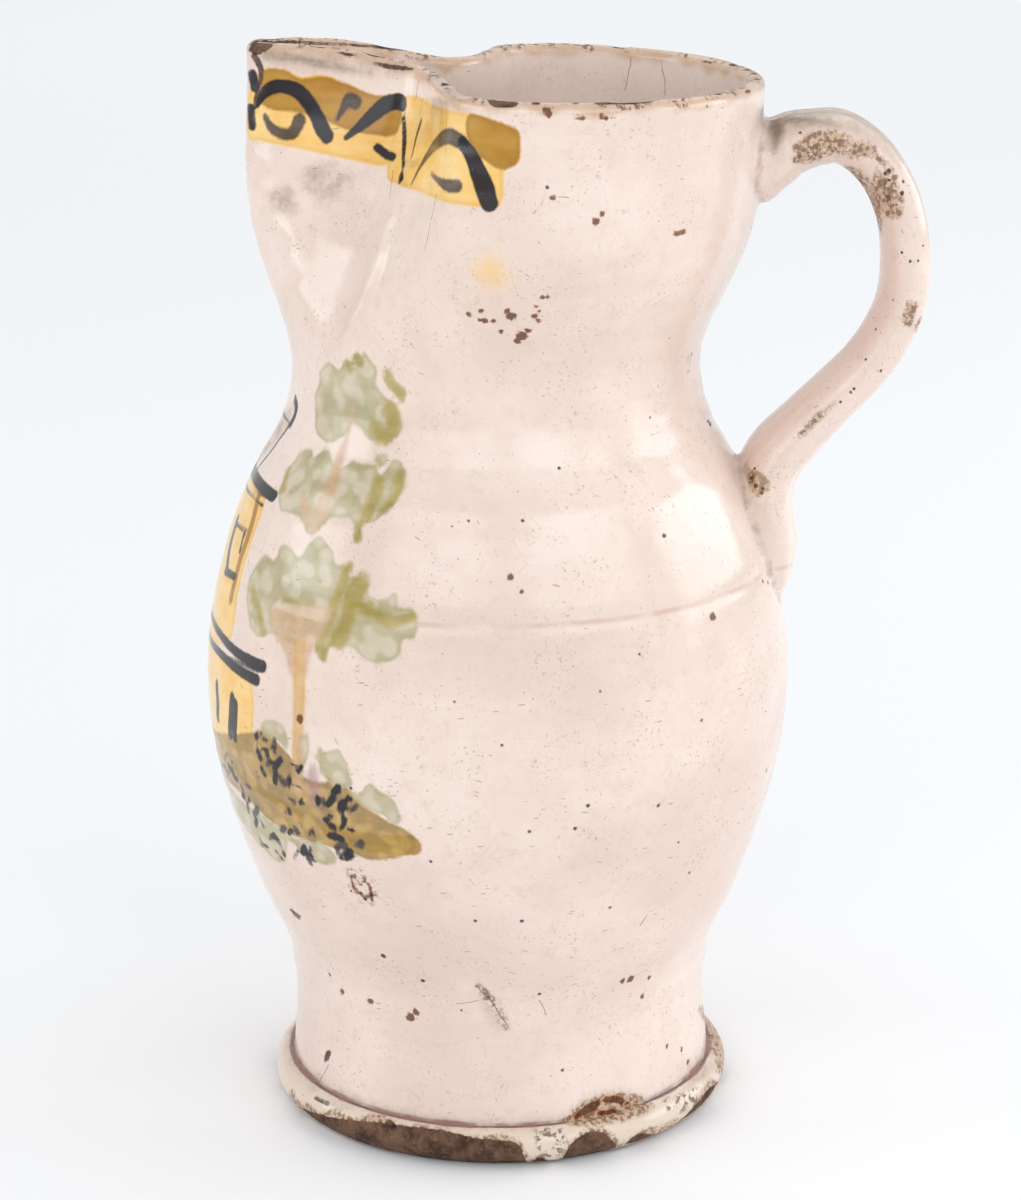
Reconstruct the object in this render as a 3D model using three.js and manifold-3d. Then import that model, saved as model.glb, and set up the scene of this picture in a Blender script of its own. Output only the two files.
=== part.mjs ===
// A tin-glazed earthenware jug, thrown and fired as one piece: a waisted hollow body on a thick
// foot disc, a mouth whose rim is pinched into a narrow spout, and a pulled strap handle.
// Millimetres, +Z up. The foot stands on z = 0 round the origin, the spout points along -X and
// the handle along +X.
import * as THREE from "three";
import { mergeVertices } from "three/addons/utils/BufferGeometryUtils.js";
import Module from "manifold-3d";

// Foot disc, with its rounded edge, and the throat that the body rises from
const FOOT_RADIUS = 55.9;
const FOOT_HEIGHT = 9.7;
const FOOT_SOLE_RADIUS = 51;
const FOOT_STEP_RADIUS = 51.4;
const ANKLE_RADIUS = 50.2;
const ANKLE_HEIGHT = 29;

// Thrown body: belly, waist, cup-shaped neck and rim, before the spout is pinched
const BELLY_RADIUS = 69.8;
const BELLY_HEIGHT = 106;
const WAIST_RADIUS = 48.2;
const WAIST_HEIGHT = 181;
const NECK_RADIUS = 62.9;
const NECK_HEIGHT = 239;
const RIM_RADIUS = 62.4;
const RIM_HEIGHT = 250;

// Clay thickness
const WALL = 4.8;
const RIM_WALL = 4.2;
const FLOOR_THICKNESS = 9;
const FLOOR_CORNER_RADIUS = 22;

// Mouth, seen from above: a squeezed round part and a narrow channel that ends in the spout
const SPOUT_REACH = 56.8;
const SPOUT_NOSE_WIDTH = 13;
const CHANNEL_WIDTH = 23;
const THROAT_WIDTH = 28;
const THROAT_REACH = 20;
const MOUTH_WIDTH = 132;
const MOUTH_CENTRE = 12;
const SPOUT_RISE = 5.2;
const RIM_TILT = 1.6;
const PINCH_START_ABOVE_WAIST = 3;
const PINCH_SHARPNESS = 0.8;

// The round part of the mouth, from the handle side on: how far each point lies from the mouth's
// centre towards the rim, and what share of the mouth's half width it has
const ROUND_MOUTH = [[0.93, 0.34], [0.74, 0.67], [0.42, 0.9], [0, 1]];

// How the mouth draws in to the throat: shares of the throat's reach, then of the mouth's half
// width or of the throat's width
const DRAWING_IN_WIDTH = 0.87;
const SHOULDER_REACH = 0.5;
const SHOULDER_WIDTH = 0.57;
const THROAT_START = 0.72;
const THROAT_START_WIDTH = 0.68;

// The spout's nose: where it begins, as a share of its width, and its rounded corners
const NOSE_START = 0.65;
const NOSE_CORNER_SETBACK = 1.2;
const NOSE_CORNER_WIDTH = 0.36;
const SPOUT_RISE_START = 0.67;

// Handle: centre line in the XZ plane, and the strap's section
const HANDLE_REACH = 95.6;
const HANDLE_TOP = 235;
const HANDLE_GRIP_HEIGHT = 206;
const HANDLE_UPPER_JOINT_HEIGHT = 228.6;
const HANDLE_LOWER_JOINT_HEIGHT = 158;
const HANDLE_TAIL_LENGTH = 34;
const STRAP_WIDTH = 24;
const STRAP_THICKNESS = 12.2;
const STRAP_GROOVE_DEPTH = 1.3;
const UPPER_JOINT_THICKNESS = 24;
const LOWER_JOINT_WIDTH = 33;
const STRAP_SQUARENESS = 0.8;
const GROOVE_NARROWING = 1.3;
const HANDLE_BEDDING = 2.4;
const UPPER_JOINT_SPREAD = 1.35;
const UPPER_JOINT_DEPTH = 0.7;

// Handle stations, stretch by stretch: the share of the way out, the share of the way up or down,
// and the strap's thickness and width there as shares of its own
const HANDLE_CLIMB = [
  [0.04, 0.31, 1.43, 1.2],
  [0.187, 0.72, 1.25, 1.08],
  [0.37, 0.96, 1.1, 1.02],
  [0.52, 1, 1.05, 1],
];
const HANDLE_FALL = [[0.71, 0.12, 1.02, 1], [0.87, 0.35, 1, 1], [0.97, 0.66, 1, 1], [1, 1, 1, 1]];
const HANDLE_RETURN = [
  [0.02, 0.19, 1, 1],
  [0.11, 0.37, 1, 1],
  [0.24, 0.52, 1, 1],
  [0.42, 0.67, 1.03, 1],
  [0.6, 0.82, 1.1, 1.05],
  [0.765, 0.97, 1.2, 1.15],
];

// The tail pressed onto the shoulder: the share of its length, how far its centre line stands
// off the wall's face, its thickness, and its width as a share of the lower joint's
const HANDLE_TAIL = [[0.2, 3, 1.3, 1], [0.5, 0, 1.4, 1], [0.78, -2, 1.05, 0.82], [1, -3.4, 0.45, 0.5]];

// The foot's rounded edge: its middle as a share of the foot's height, how far it rounds up and
// down from there, and where the round starts and ends in half turns
const FOOT_EDGE_MIDDLE = 0.55;
const FOOT_EDGE_ROUNDING = 0.9;
const FOOT_EDGE_START = -0.33;
const FOOT_EDGE_END = 0.36;

// The share of the way down inside by which the wall has its full thickness
const FULL_WALL_BY = 0.25;

// How finely the surfaces are cut into facets
const SIDES = 68;
const SPOUT_SIDE_CROWDING = 0.35;
const OUTER_RINGS = 29;
const FOOT_EDGE_RINGS = 5;
const RIM_RINGS = 4;
const INNER_RINGS = 16;
const CORE_RINGS = 14;
const FLOOR_CORNER_RINGS = 4;
const HANDLE_STEPS = 30;
const STRAP_SIDES = 16;
const MOUTH_ARC_DIVISIONS = 1200;
const FACING_STEP = 0.012;
const WELD_DISTANCE = 1e-4;

// Glaze
const GLAZE_COLOUR = 0xe9d8c8;
const GLAZE_ROUGHNESS = 0.22;

// The wall between two named places: how far up it each point lies, and how much of the change
// of radius it has made there
const ANKLE_TO_BELLY = [[0.14, 0.07], [0.34, 0.4], [0.53, 0.66], [0.73, 0.88], [0.92, 0.99]];
const BELLY_TO_WAIST = [[0.12, 0.014], [0.32, 0.13], [0.52, 0.325], [0.69, 0.58], [0.84, 0.87]];
const WAIST_TO_NECK = [[0.155, 0.055], [0.36, 0.3], [0.57, 0.63], [0.78, 0.89]];

function stationsBetween(lowRadius, lowHeight, highRadius, highHeight, shares) {
  return shares.map(([up, change]) => [
    THREE.MathUtils.lerp(lowHeight, highHeight, up),
    THREE.MathUtils.lerp(lowRadius, highRadius, change),
  ]);
}

const BODY_STATIONS = [
  [FOOT_HEIGHT, FOOT_STEP_RADIUS],
  [ANKLE_HEIGHT, ANKLE_RADIUS],
  ...stationsBetween(ANKLE_RADIUS, ANKLE_HEIGHT, BELLY_RADIUS, BELLY_HEIGHT, ANKLE_TO_BELLY),
  [BELLY_HEIGHT, BELLY_RADIUS],
  ...stationsBetween(BELLY_RADIUS, BELLY_HEIGHT, WAIST_RADIUS, WAIST_HEIGHT, BELLY_TO_WAIST),
  [WAIST_HEIGHT, WAIST_RADIUS],
  ...stationsBetween(WAIST_RADIUS, WAIST_HEIGHT, NECK_RADIUS, NECK_HEIGHT, WAIST_TO_NECK),
  [NECK_HEIGHT, NECK_RADIUS],
  [RIM_HEIGHT, RIM_RADIUS],
];

// A smooth curve through [position, value] stations, with slopes from each station's neighbours
function smoothThrough(stations, position) {
  const last = stations.length - 1;
  const at = THREE.MathUtils.clamp(position, stations[0][0], stations[last][0]);
  let i = 0;
  while (i < last - 1 && at > stations[i + 1][0]) i += 1;
  const rise = (a, b) => (stations[b][1] - stations[a][1]) / (stations[b][0] - stations[a][0]);
  const slope = (k) => {
    if (k === 0) return rise(0, 1);
    if (k === last) return rise(last - 1, last);
    const before = stations[k][0] - stations[k - 1][0];
    const after = stations[k + 1][0] - stations[k][0];
    return (rise(k - 1, k) * after + rise(k, k + 1) * before) / (before + after);
  };
  const span = stations[i + 1][0] - stations[i][0];
  const t = (at - stations[i][0]) / span;
  const t2 = t * t;
  const t3 = t2 * t;
  return (
    stations[i][1] * (2 * t3 - 3 * t2 + 1) +
    stations[i + 1][1] * (3 * t2 - 2 * t3) +
    slope(i) * span * (t3 - 2 * t2 + t) +
    slope(i + 1) * span * (t3 - t2)
  );
}

const thrownRadius = (height) => smoothThrough(BODY_STATIONS, height);

// Mouth outline, anticlockwise from the handle side, as it is at the rim once the spout is pinched
function mouthPoints() {
  const half = MOUTH_WIDTH / 2;
  const round = (share, across) => [
    MOUTH_CENTRE + (RIM_RADIUS - MOUTH_CENTRE) * share,
    half * across,
  ];
  const throat = -THROAT_REACH;
  const channel = -(THROAT_REACH + SPOUT_REACH) / 2;
  const lip = -SPOUT_REACH + SPOUT_NOSE_WIDTH * NOSE_START;
  const side = (sign) => [
    ...ROUND_MOUTH.map(([share, across]) => round(share, sign * across)),
    [(MOUTH_CENTRE + throat) / 2, sign * half * DRAWING_IN_WIDTH],
    [throat * SHOULDER_REACH, sign * half * SHOULDER_WIDTH],
    [throat * THROAT_START, sign * (THROAT_WIDTH * THROAT_START_WIDTH)],
    [throat, sign * (THROAT_WIDTH / 2)],
    [channel, sign * (CHANNEL_WIDTH / 2)],
    [lip, sign * (CHANNEL_WIDTH + SPOUT_NOSE_WIDTH) / 4],
    [-SPOUT_REACH + NOSE_CORNER_SETBACK, sign * SPOUT_NOSE_WIDTH * NOSE_CORNER_WIDTH],
  ];
  return [[RIM_RADIUS, 0], ...side(1), [-SPOUT_REACH, 0], ...side(-1).reverse()];
}

const mouthCurve = new THREE.CatmullRomCurve3(
  mouthPoints().map(([x, y]) => new THREE.Vector3(x, y, 0)),
  true,
  "centripetal",
);
mouthCurve.arcLengthDivisions = MOUTH_ARC_DIVISIONS;

// The clay keeps its place along the rim when it is pinched, so an angle round the thrown rim
// stands for a share of the mouth's outline
const mouthAt = (angle) => mouthCurve.getPointAt((angle / (2 * Math.PI)) % 1);

function pinchShare(height) {
  const start = WAIST_HEIGHT + PINCH_START_ABOVE_WAIST;
  const up = THREE.MathUtils.smoothstep(height, start, RIM_HEIGHT);
  return Math.pow(up, PINCH_SHARPNESS);
}

// Outer face of the wall at one height: a circle below, the mouth's outline at the rim
function outerPoint(angle, height) {
  const radius = thrownRadius(height);
  const circle = new THREE.Vector3(radius * Math.cos(angle), radius * Math.sin(angle), 0);
  const share = pinchShare(height);
  return share === 0 ? circle : circle.lerp(mouthAt(angle), share);
}

// How far the rim stands above the thrown rim: it tilts up gently and is drawn up at the spout
function rimLift(angle) {
  const towardsSpout = -Math.cos(angle);
  const drawnUp = THREE.MathUtils.smoothstep(towardsSpout, SPOUT_RISE_START, 1);
  return RIM_TILT * towardsSpout + SPOUT_RISE * drawnUp;
}

function liftedHeight(angle, height) {
  const start = WAIST_HEIGHT + PINCH_START_ABOVE_WAIST;
  return height + rimLift(angle) * THREE.MathUtils.smoothstep(height, start, RIM_HEIGHT);
}

// A point of the wall, given its depth under the outer face
function wallPoint(angle, height, depth) {
  const here = outerPoint(angle, height);
  const before = outerPoint(angle - FACING_STEP + 2 * Math.PI, height);
  const after = outerPoint(angle + FACING_STEP, height);
  const inward = new THREE.Vector3(before.y - after.y, after.x - before.x, 0).normalize();
  here.addScaledVector(inward, depth);
  here.z = liftedHeight(angle, height);
  return here;
}

// The profile as rings from the middle of the sole, out and up the outside, over the rim and
// down the inside. Each ring is a function from an angle to a point.
function bodyRings() {
  const rings = [];
  const roundRing = (radius, height) => (angle) =>
    new THREE.Vector3(radius * Math.cos(angle), radius * Math.sin(angle), height);
  const wallRing = (height, depth) => (angle) => wallPoint(angle, height, depth);

  rings.push(roundRing(FOOT_SOLE_RADIUS, 0));
  const middle = FOOT_HEIGHT * FOOT_EDGE_MIDDLE;
  const rounding = middle * FOOT_EDGE_ROUNDING;
  const bulge = FOOT_RADIUS - FOOT_SOLE_RADIUS;
  for (let i = 0; i <= FOOT_EDGE_RINGS; i += 1) {
    const share = i / FOOT_EDGE_RINGS;
    const turn = THREE.MathUtils.lerp(FOOT_EDGE_START, FOOT_EDGE_END, share) * Math.PI;
    const radius = FOOT_SOLE_RADIUS + bulge * Math.cos(turn);
    rings.push(roundRing(radius, middle + rounding * Math.sin(turn)));
  }
  for (let i = 0; i <= OUTER_RINGS; i += 1) {
    const top = RIM_HEIGHT - RIM_WALL / 2;
    rings.push(wallRing(THREE.MathUtils.lerp(FOOT_HEIGHT, top, i / OUTER_RINGS), 0));
  }
  for (let i = 1; i <= RIM_RINGS; i += 1) {
    const turn = (i / (RIM_RINGS + 1)) * Math.PI;
    const height = RIM_HEIGHT - (RIM_WALL / 2) * (1 - Math.sin(turn));
    rings.push(wallRing(height, (RIM_WALL / 2) * (1 - Math.cos(turn))));
  }
  const cornerTop = FLOOR_THICKNESS + FLOOR_CORNER_RADIUS;
  for (let i = 0; i <= INNER_RINGS; i += 1) {
    const down = i / INNER_RINGS;
    const height = THREE.MathUtils.lerp(RIM_HEIGHT - RIM_WALL / 2, cornerTop, down);
    const depth = THREE.MathUtils.lerp(RIM_WALL, WALL, Math.min(1, down / FULL_WALL_BY));
    rings.push(wallRing(height, depth));
  }
  const innerRadius = thrownRadius(cornerTop) - WALL;
  for (let i = 1; i <= FLOOR_CORNER_RINGS; i += 1) {
    const turn = (i / FLOOR_CORNER_RINGS) * (Math.PI / 2);
    rings.push(
      roundRing(
        innerRadius - FLOOR_CORNER_RADIUS * (1 - Math.cos(turn)),
        cornerTop - FLOOR_CORNER_RADIUS * Math.sin(turn),
      ),
    );
  }
  return rings;
}

// Facets are narrower towards the spout, where the outline bends most
function sideAngle(i) {
  const even = (i / SIDES) * 2 * Math.PI;
  return even + SPOUT_SIDE_CROWDING * Math.sin(even);
}

// A closed skin over rings of points, each end closed by a fan to its own middle point
function closedSkin(rings, firstCentre, lastCentre) {
  const sides = rings[0].length;
  const points = [...rings.flat(), firstCentre, lastCentre];
  const index = [];
  for (let r = 0; r < rings.length - 1; r += 1) {
    for (let s = 0; s < sides; s += 1) {
      const next = (s + 1) % sides;
      const a = r * sides + s;
      const b = r * sides + next;
      const c = (r + 1) * sides + s;
      const d = (r + 1) * sides + next;
      index.push(a, b, d, a, d, c);
    }
  }
  const firstIndex = rings.length * sides;
  const lastRing = (rings.length - 1) * sides;
  for (let s = 0; s < sides; s += 1) {
    const next = (s + 1) % sides;
    index.push(firstIndex, next, s);
    index.push(firstIndex + 1, lastRing + s, lastRing + next);
  }
  const geometry = new THREE.BufferGeometry().setFromPoints(points);
  geometry.setIndex(index);
  return geometry;
}

function bodyGeometry() {
  const angles = Array.from({ length: SIDES }, (_, i) => sideAngle(i));
  const rings = bodyRings().map((ring) => angles.map(ring));
  return closedSkin(
    rings,
    new THREE.Vector3(0, 0, 0),
    new THREE.Vector3(0, 0, FLOOR_THICKNESS),
  );
}

// Handle centre line, from inside the neck's wall, over the grip and down the shoulder
function handleStations() {
  const upperWall = thrownRadius(HANDLE_UPPER_JOINT_HEIGHT);
  const lowerWall = thrownRadius(HANDLE_LOWER_JOINT_HEIGHT);
  const tail = (share) => HANDLE_LOWER_JOINT_HEIGHT - HANDLE_TAIL_LENGTH * share;
  const out = (share) => THREE.MathUtils.lerp(upperWall, HANDLE_REACH, share);
  const climb = (share) => THREE.MathUtils.lerp(HANDLE_UPPER_JOINT_HEIGHT, HANDLE_TOP, share);
  const fall = (share) => THREE.MathUtils.lerp(HANDLE_TOP, HANDLE_GRIP_HEIGHT, share);
  const drop = (share) => THREE.MathUtils.lerp(HANDLE_GRIP_HEIGHT, HANDLE_LOWER_JOINT_HEIGHT, share);
  const back = (share) => THREE.MathUtils.lerp(HANDLE_REACH, lowerWall, share);
  const flare = UPPER_JOINT_THICKNESS / STRAP_THICKNESS;
  const spread = LOWER_JOINT_WIDTH / STRAP_WIDTH;
  // Each station: radius, height, thickness and width as shares of the strap's own
  return [
    [upperWall - WALL * UPPER_JOINT_DEPTH, HANDLE_UPPER_JOINT_HEIGHT, flare, UPPER_JOINT_SPREAD],
    ...HANDLE_CLIMB.map(([way, up, thick, wide]) => [out(way), climb(up), thick, wide]),
    ...HANDLE_FALL.map(([way, down, thick, wide]) => [out(way), fall(down), thick, wide]),
    ...HANDLE_RETURN.map(([way, down, thick, wide]) => [back(way), drop(down), thick, wide]),
    ...HANDLE_TAIL.map(([along, off, thick, wide]) => {
      return [thrownRadius(tail(along)) + off, tail(along), thick, spread * wide];
    }),
  ];
}

// One cross-section of the strap: an oval with a shallow groove along the outer face
function strapSection(thickness, width) {
  return Array.from({ length: STRAP_SIDES }, (_, i) => {
    const turn = (i / STRAP_SIDES) * 2 * Math.PI;
    const across = (width / 2) * Math.sin(turn);
    const facing = Math.cos(turn);
    const squared = Math.sign(facing) * Math.pow(Math.abs(facing), STRAP_SQUARENESS);
    const fromGroove = (2 * GROOVE_NARROWING * across) / width;
    const groove = facing > 0 ? Math.pow(Math.max(0, 1 - fromGroove ** 2), 2) : 0;
    return [(thickness / 2) * squared - STRAP_GROOVE_DEPTH * groove, across];
  });
}

function handleGeometry() {
  const stations = handleStations();
  const centre = new THREE.CatmullRomCurve3(
    stations.map(([radius, height]) => new THREE.Vector3(radius, 0, height)),
    false,
    "centripetal",
  );
  const lastStation = stations.length - 1;
  const shareOf = (t, column) => {
    const place = t * lastStation;
    const i = Math.min(lastStation - 1, Math.floor(place));
    return THREE.MathUtils.lerp(stations[i][column], stations[i + 1][column], place - i);
  };
  const rings = [];
  for (let i = 0; i <= HANDLE_STEPS; i += 1) {
    const t = i / HANDLE_STEPS;
    const middle = centre.getPoint(t);
    const along = centre.getTangent(t);
    const outward = new THREE.Vector3(-along.z, 0, along.x);
    const section = strapSection(STRAP_THICKNESS * shareOf(t, 2), STRAP_WIDTH * shareOf(t, 3));
    rings.push(section.map(([out, across]) => {
      const point = middle.clone().addScaledVector(outward, out);
      point.y -= across;
      return point;
    }));
  }
  const middleOf = (ring) =>
    ring.reduce((sum, point) => sum.add(point), new THREE.Vector3()).divideScalar(ring.length);
  return closedSkin(rings, middleOf(rings[0]), middleOf(rings[HANDLE_STEPS]));
}

// What lies deeper than the handle's bedding: the handle is cut off there, so that none of its
// clay reaches the inside of the jug
function coreGeometry() {
  const angles = Array.from({ length: SIDES }, (_, i) => sideAngle(i));
  const low = BELLY_HEIGHT;
  const ring = (share) => {
    const height = THREE.MathUtils.lerp(low, RIM_HEIGHT, share);
    return angles.map((angle) => wallPoint(angle, height, HANDLE_BEDDING));
  };
  const rings = Array.from({ length: CORE_RINGS + 1 }, (_, i) => ring(i / CORE_RINGS));
  const top = new THREE.Vector3(MOUTH_CENTRE, 0, RIM_HEIGHT);
  return closedSkin(rings, new THREE.Vector3(0, 0, low), top);
}

const wasm = await Module();
wasm.setup();

function solidFrom(geometry) {
  const merged = mergeVertices(geometry, WELD_DISTANCE);
  return new wasm.Manifold(
    new wasm.Mesh({
      numProp: 3,
      vertProperties: new Float32Array(merged.attributes.position.array),
      triVerts: new Uint32Array(merged.index.array),
    }),
  );
}

function geometryFrom(solid) {
  const mesh = solid.getMesh();
  const geometry = new THREE.BufferGeometry();
  geometry.setAttribute("position", new THREE.BufferAttribute(mesh.vertProperties, 3));
  geometry.setIndex(new THREE.BufferAttribute(mesh.triVerts, 1));
  geometry.computeVertexNormals();
  return geometry;
}

const tinGlaze = new THREE.MeshStandardMaterial({
  color: GLAZE_COLOUR,
  roughness: GLAZE_ROUGHNESS,
  metalness: 0,
});

const handle = solidFrom(handleGeometry()).subtract(solidFrom(coreGeometry()));
const jugSolid = solidFrom(bodyGeometry()).add(handle);
const jug = new THREE.Mesh(geometryFrom(jugSolid), tinGlaze);
jug.name = "jug";

const group = new THREE.Group();
group.add(jug);

export default group;
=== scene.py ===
# A tin-glazed earthenware jug: the fine thrown form with its wear, the painted folk landscape,
# the glaze, and a plain studio round it.
import math

import bpy
import numpy as np
from mathutils import Euler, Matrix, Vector, kdtree


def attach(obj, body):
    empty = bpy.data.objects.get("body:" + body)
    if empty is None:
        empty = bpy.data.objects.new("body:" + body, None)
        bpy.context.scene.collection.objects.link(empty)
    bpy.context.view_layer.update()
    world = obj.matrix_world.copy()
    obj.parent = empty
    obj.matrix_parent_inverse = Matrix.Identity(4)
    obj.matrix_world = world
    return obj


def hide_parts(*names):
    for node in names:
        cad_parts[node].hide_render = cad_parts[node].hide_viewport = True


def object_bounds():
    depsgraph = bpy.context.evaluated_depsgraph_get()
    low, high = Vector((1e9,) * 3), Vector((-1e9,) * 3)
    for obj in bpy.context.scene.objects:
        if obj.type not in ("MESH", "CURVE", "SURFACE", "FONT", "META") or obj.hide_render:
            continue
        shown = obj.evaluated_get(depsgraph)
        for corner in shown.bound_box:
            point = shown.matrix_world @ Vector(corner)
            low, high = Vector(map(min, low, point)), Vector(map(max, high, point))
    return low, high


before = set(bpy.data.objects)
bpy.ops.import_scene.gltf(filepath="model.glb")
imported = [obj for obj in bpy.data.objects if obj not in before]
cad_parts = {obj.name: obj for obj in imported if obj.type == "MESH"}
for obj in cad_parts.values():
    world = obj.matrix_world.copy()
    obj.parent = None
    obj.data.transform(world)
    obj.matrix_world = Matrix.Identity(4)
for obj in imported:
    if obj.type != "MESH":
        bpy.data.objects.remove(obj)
cad_low, cad_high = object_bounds()

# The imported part's own sizes in millimetres
JUG_HEIGHT = 256.7
FOOT_RADIUS = 55.9
FOOT_HEIGHT = 9.7
FOOT_SOLE_RADIUS = 51.0
FOOT_STEP_RADIUS = 51.4
ANKLE_RADIUS = 50.2
ANKLE_HEIGHT = 29.0
BELLY_RADIUS = 69.8
BELLY_HEIGHT = 106.0
WAIST_RADIUS = 48.2
WAIST_HEIGHT = 181.0
NECK_RADIUS = 62.9
NECK_HEIGHT = 239.0
RIM_RADIUS = 62.4
RIM_HEIGHT = 250.0
WALL = 4.8
RIM_WALL = 4.2
FLOOR_THICKNESS = 9.0
FLOOR_CORNER_RADIUS = 22.0
SPOUT_REACH = 56.8
SPOUT_NOSE_WIDTH = 13.0
CHANNEL_WIDTH = 23.0
THROAT_WIDTH = 28.0
THROAT_REACH = 20.0
MOUTH_WIDTH = 132.0
MOUTH_CENTRE = 12.0
SPOUT_RISE = 5.2
RIM_TILT = 1.6
PINCH_START_ABOVE_WAIST = 3.0
PINCH_START = WAIST_HEIGHT + PINCH_START_ABOVE_WAIST
PINCH_SHARPNESS = 0.8
SPOUT_RISE_START = 0.67
HANDLE_REACH = 95.6
HANDLE_TOP = 235.0
HANDLE_GRIP_HEIGHT = 206.0
HANDLE_UPPER_JOINT = 228.6
HANDLE_LOWER_JOINT = 158.0
HANDLE_TAIL_LENGTH = 34.0
STRAP_WIDTH = 24.0
STRAP_THICKNESS = 12.2
STRAP_GROOVE = 1.3
STRAP_SQUARENESS = 0.8
GROOVE_NARROWING = 1.3
UPPER_JOINT_THICKNESS = 24.0
LOWER_JOINT_WIDTH = 33.0
UPPER_JOINT_SPREAD = 1.35
UPPER_JOINT_DEPTH = 0.7
HANDLE_BEDDING = 2.4

# The round part of the mouth, from the handle side on: how far each point lies from the mouth's
# centre towards the rim, and what share of the mouth's half width it has
ROUND_MOUTH = [(0.93, 0.34), (0.74, 0.67), (0.42, 0.9), (0, 1)]

# How the mouth draws in to the throat: shares of the throat's reach, then of the mouth's half
# width or of the throat's width
DRAWING_IN_WIDTH = 0.87
SHOULDER_REACH = 0.5
SHOULDER_WIDTH = 0.57
THROAT_START = 0.72
THROAT_START_WIDTH = 0.68

# The spout's nose: where it begins, as a share of its width, and its rounded corners
NOSE_START = 0.65
NOSE_CORNER_SETBACK = 1.2
NOSE_CORNER_WIDTH = 0.36

# The real spout is squeezed a little unevenly: its far side is pressed in less, nearer the axis.
# These are the throat's shifts, and the share of its side's shift that each point takes.
FAR_THROAT_SHIFT = (6.0, 2.5)
NEAR_THROAT_SHIFT = (-1.0, 1.5)
SHIFT_TAKEN = [(0.4, 0), (0.8, 0.6), (1, 1), (1, 1), (0.5, 0.6)]

# Handle stations, stretch by stretch: the share of the way out, the share of the way up or down,
# and the strap's thickness and width there as shares of its own
HANDLE_CLIMB = [
    (0.04, 0.31, 1.43, 1.2), (0.187, 0.72, 1.25, 1.08), (0.37, 0.96, 1.1, 1.02), (0.52, 1, 1.05, 1),
]
HANDLE_FALL = [(0.71, 0.12, 1.02, 1), (0.87, 0.35, 1, 1), (0.97, 0.66, 1, 1), (1, 1, 1, 1)]
HANDLE_RETURN = [
    (0.02, 0.19, 1, 1), (0.11, 0.37, 1, 1), (0.24, 0.52, 1, 1),
    (0.42, 0.67, 1.03, 1), (0.6, 0.82, 1.1, 1.05), (0.765, 0.97, 1.2, 1.15),
]

# The tail pressed onto the shoulder: the share of its length, how far its centre line stands off
# the wall's face, its thickness, and its width as a share of the lower joint's
HANDLE_TAIL = [(0.2, 3, 1.3, 1), (0.5, 0, 1.4, 1), (0.78, -2, 1.05, 0.82), (1, -3.4, 0.45, 0.5)]

# The foot's rounded edge: its middle as a share of the foot's height, how far it rounds up and
# down from there, and where the round starts and ends in half turns
FOOT_EDGE_MIDDLE = 0.55
FOOT_EDGE_ROUNDING = 0.9
FOOT_EDGE_START = -0.33
FOOT_EDGE_END = 0.36

# The share of the way down inside by which the wall has its full thickness
FULL_WALL_BY = 0.25

# Metres for each millimetre of those sizes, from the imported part's own height
UNIT = (cad_high.z - cad_low.z) / JUG_HEIGHT

# How finely the mesh is cut
SIDES = 320
OUTER_RINGS = 206
FOOT_EDGE_RINGS = 14
RIM_RINGS = 9
INNER_RINGS = 26
FLOOR_CORNER_RINGS = 8
HANDLE_STEPS = 170
STRAP_SIDES = 56
CORE_SIDES = 120
CORE_RINGS = 60
SOLE_RINGS = (0.3, 0.6, 0.85, 0.96, 1)
FLOOR_RINGS = (0.75, 0.5, 0.25)
CURVE_STEPS = 5
MOUTH_STEPS = 60
HANDLE_CURVE_STEPS = 40
PROFILE_STEPS = 600
FACING_STEP = 0.012
CROWD_STEPS = 4001

# Where its rows and columns lie closer together, as (place, reach, how much more): angles at the
# painted side and the spout, and heights at the foot, the tree and the painted band
SIDE_CROWDS = [(math.radians(235), 0.95, 0.9), (math.pi, 0.5, 0.9)]
WALL_CROWDS = [(FOOT_HEIGHT, 3, 2.0), (145, 60, 0.45), (231, 20, 1.1)]

# The least lengths that anything is divided by
TINY = 1e-9
LEAST_GAP = 1e-4

# What the potter's hands, the kiln and long use left on the plain form, in millimetres.
# The body's wobble: (size, waves round, height for a radian, start)
WOBBLES = [(0.2, 2, 60, 1), (0.1, 3, -35, 0)]

# The throwing rings, and how they come and go: (how much, waves round, height for a radian)
THROWING_PITCH = 6.5
THROWING_RELIEF = 0.05
THROWING_UNEVEN = (0.6, 3, 20)

# The scribed ring and the ridges above the foot and at the waist: (height, half width, how proud)
SCRIBED_HEIGHT = 135.5
RINGS = [(SCRIBED_HEIGHT, 0.9, -0.14), (35.0, 2.2, 0.25), (170.3, 1.3, 0.14)]

# The strap's ribs: how many, how proud, where they start and are full by the cosine of the turn
# round it, and where they start and end by the share of the way down it
STRAP_RIDGES = 7
STRAP_RIDGE = 0.1
RIBBED_FACE = (-0.1, 0.3)
RIBS_START = (0.1, 0.2)
RIBS_END = (0.6, 0.8)

# The pinch's fold and hollow and the chips, with how deep in their marks each starts and is full
FOLD_RIDGE = 1.0
FOLD_FADE = (-2.6, 1.0)
HOLLOW_DEPTH = 0.9
HOLLOW_FADE = (-5.0, 5.0)
CHIP_DEPTH = 0.4
CHIP_FADE = (-0.3, 0.6)
RUST_SET_BACK = 0.6

# The clay smoothed down where the handle was luted on: its reach, how strongly it is smoothed
# above and below, the share of the reach where that begins to fade, and how often
UPPER_LUTING_REACH = 6.5
LUTING_REACH = 2.8
UPPER_LUTING = 0.6
LUTING = 0.3
LUTING_FADE_START = 0.15
LUTING_STEPS = 30

# The dirt and painted shade in that seam, its seed, and how it waves round and up
SEAM_DIRT_AND_SHADE = 0.5
SEAM_SEED = 12
SEAM_TURNS = 3
SEAM_PITCH = 6

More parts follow.
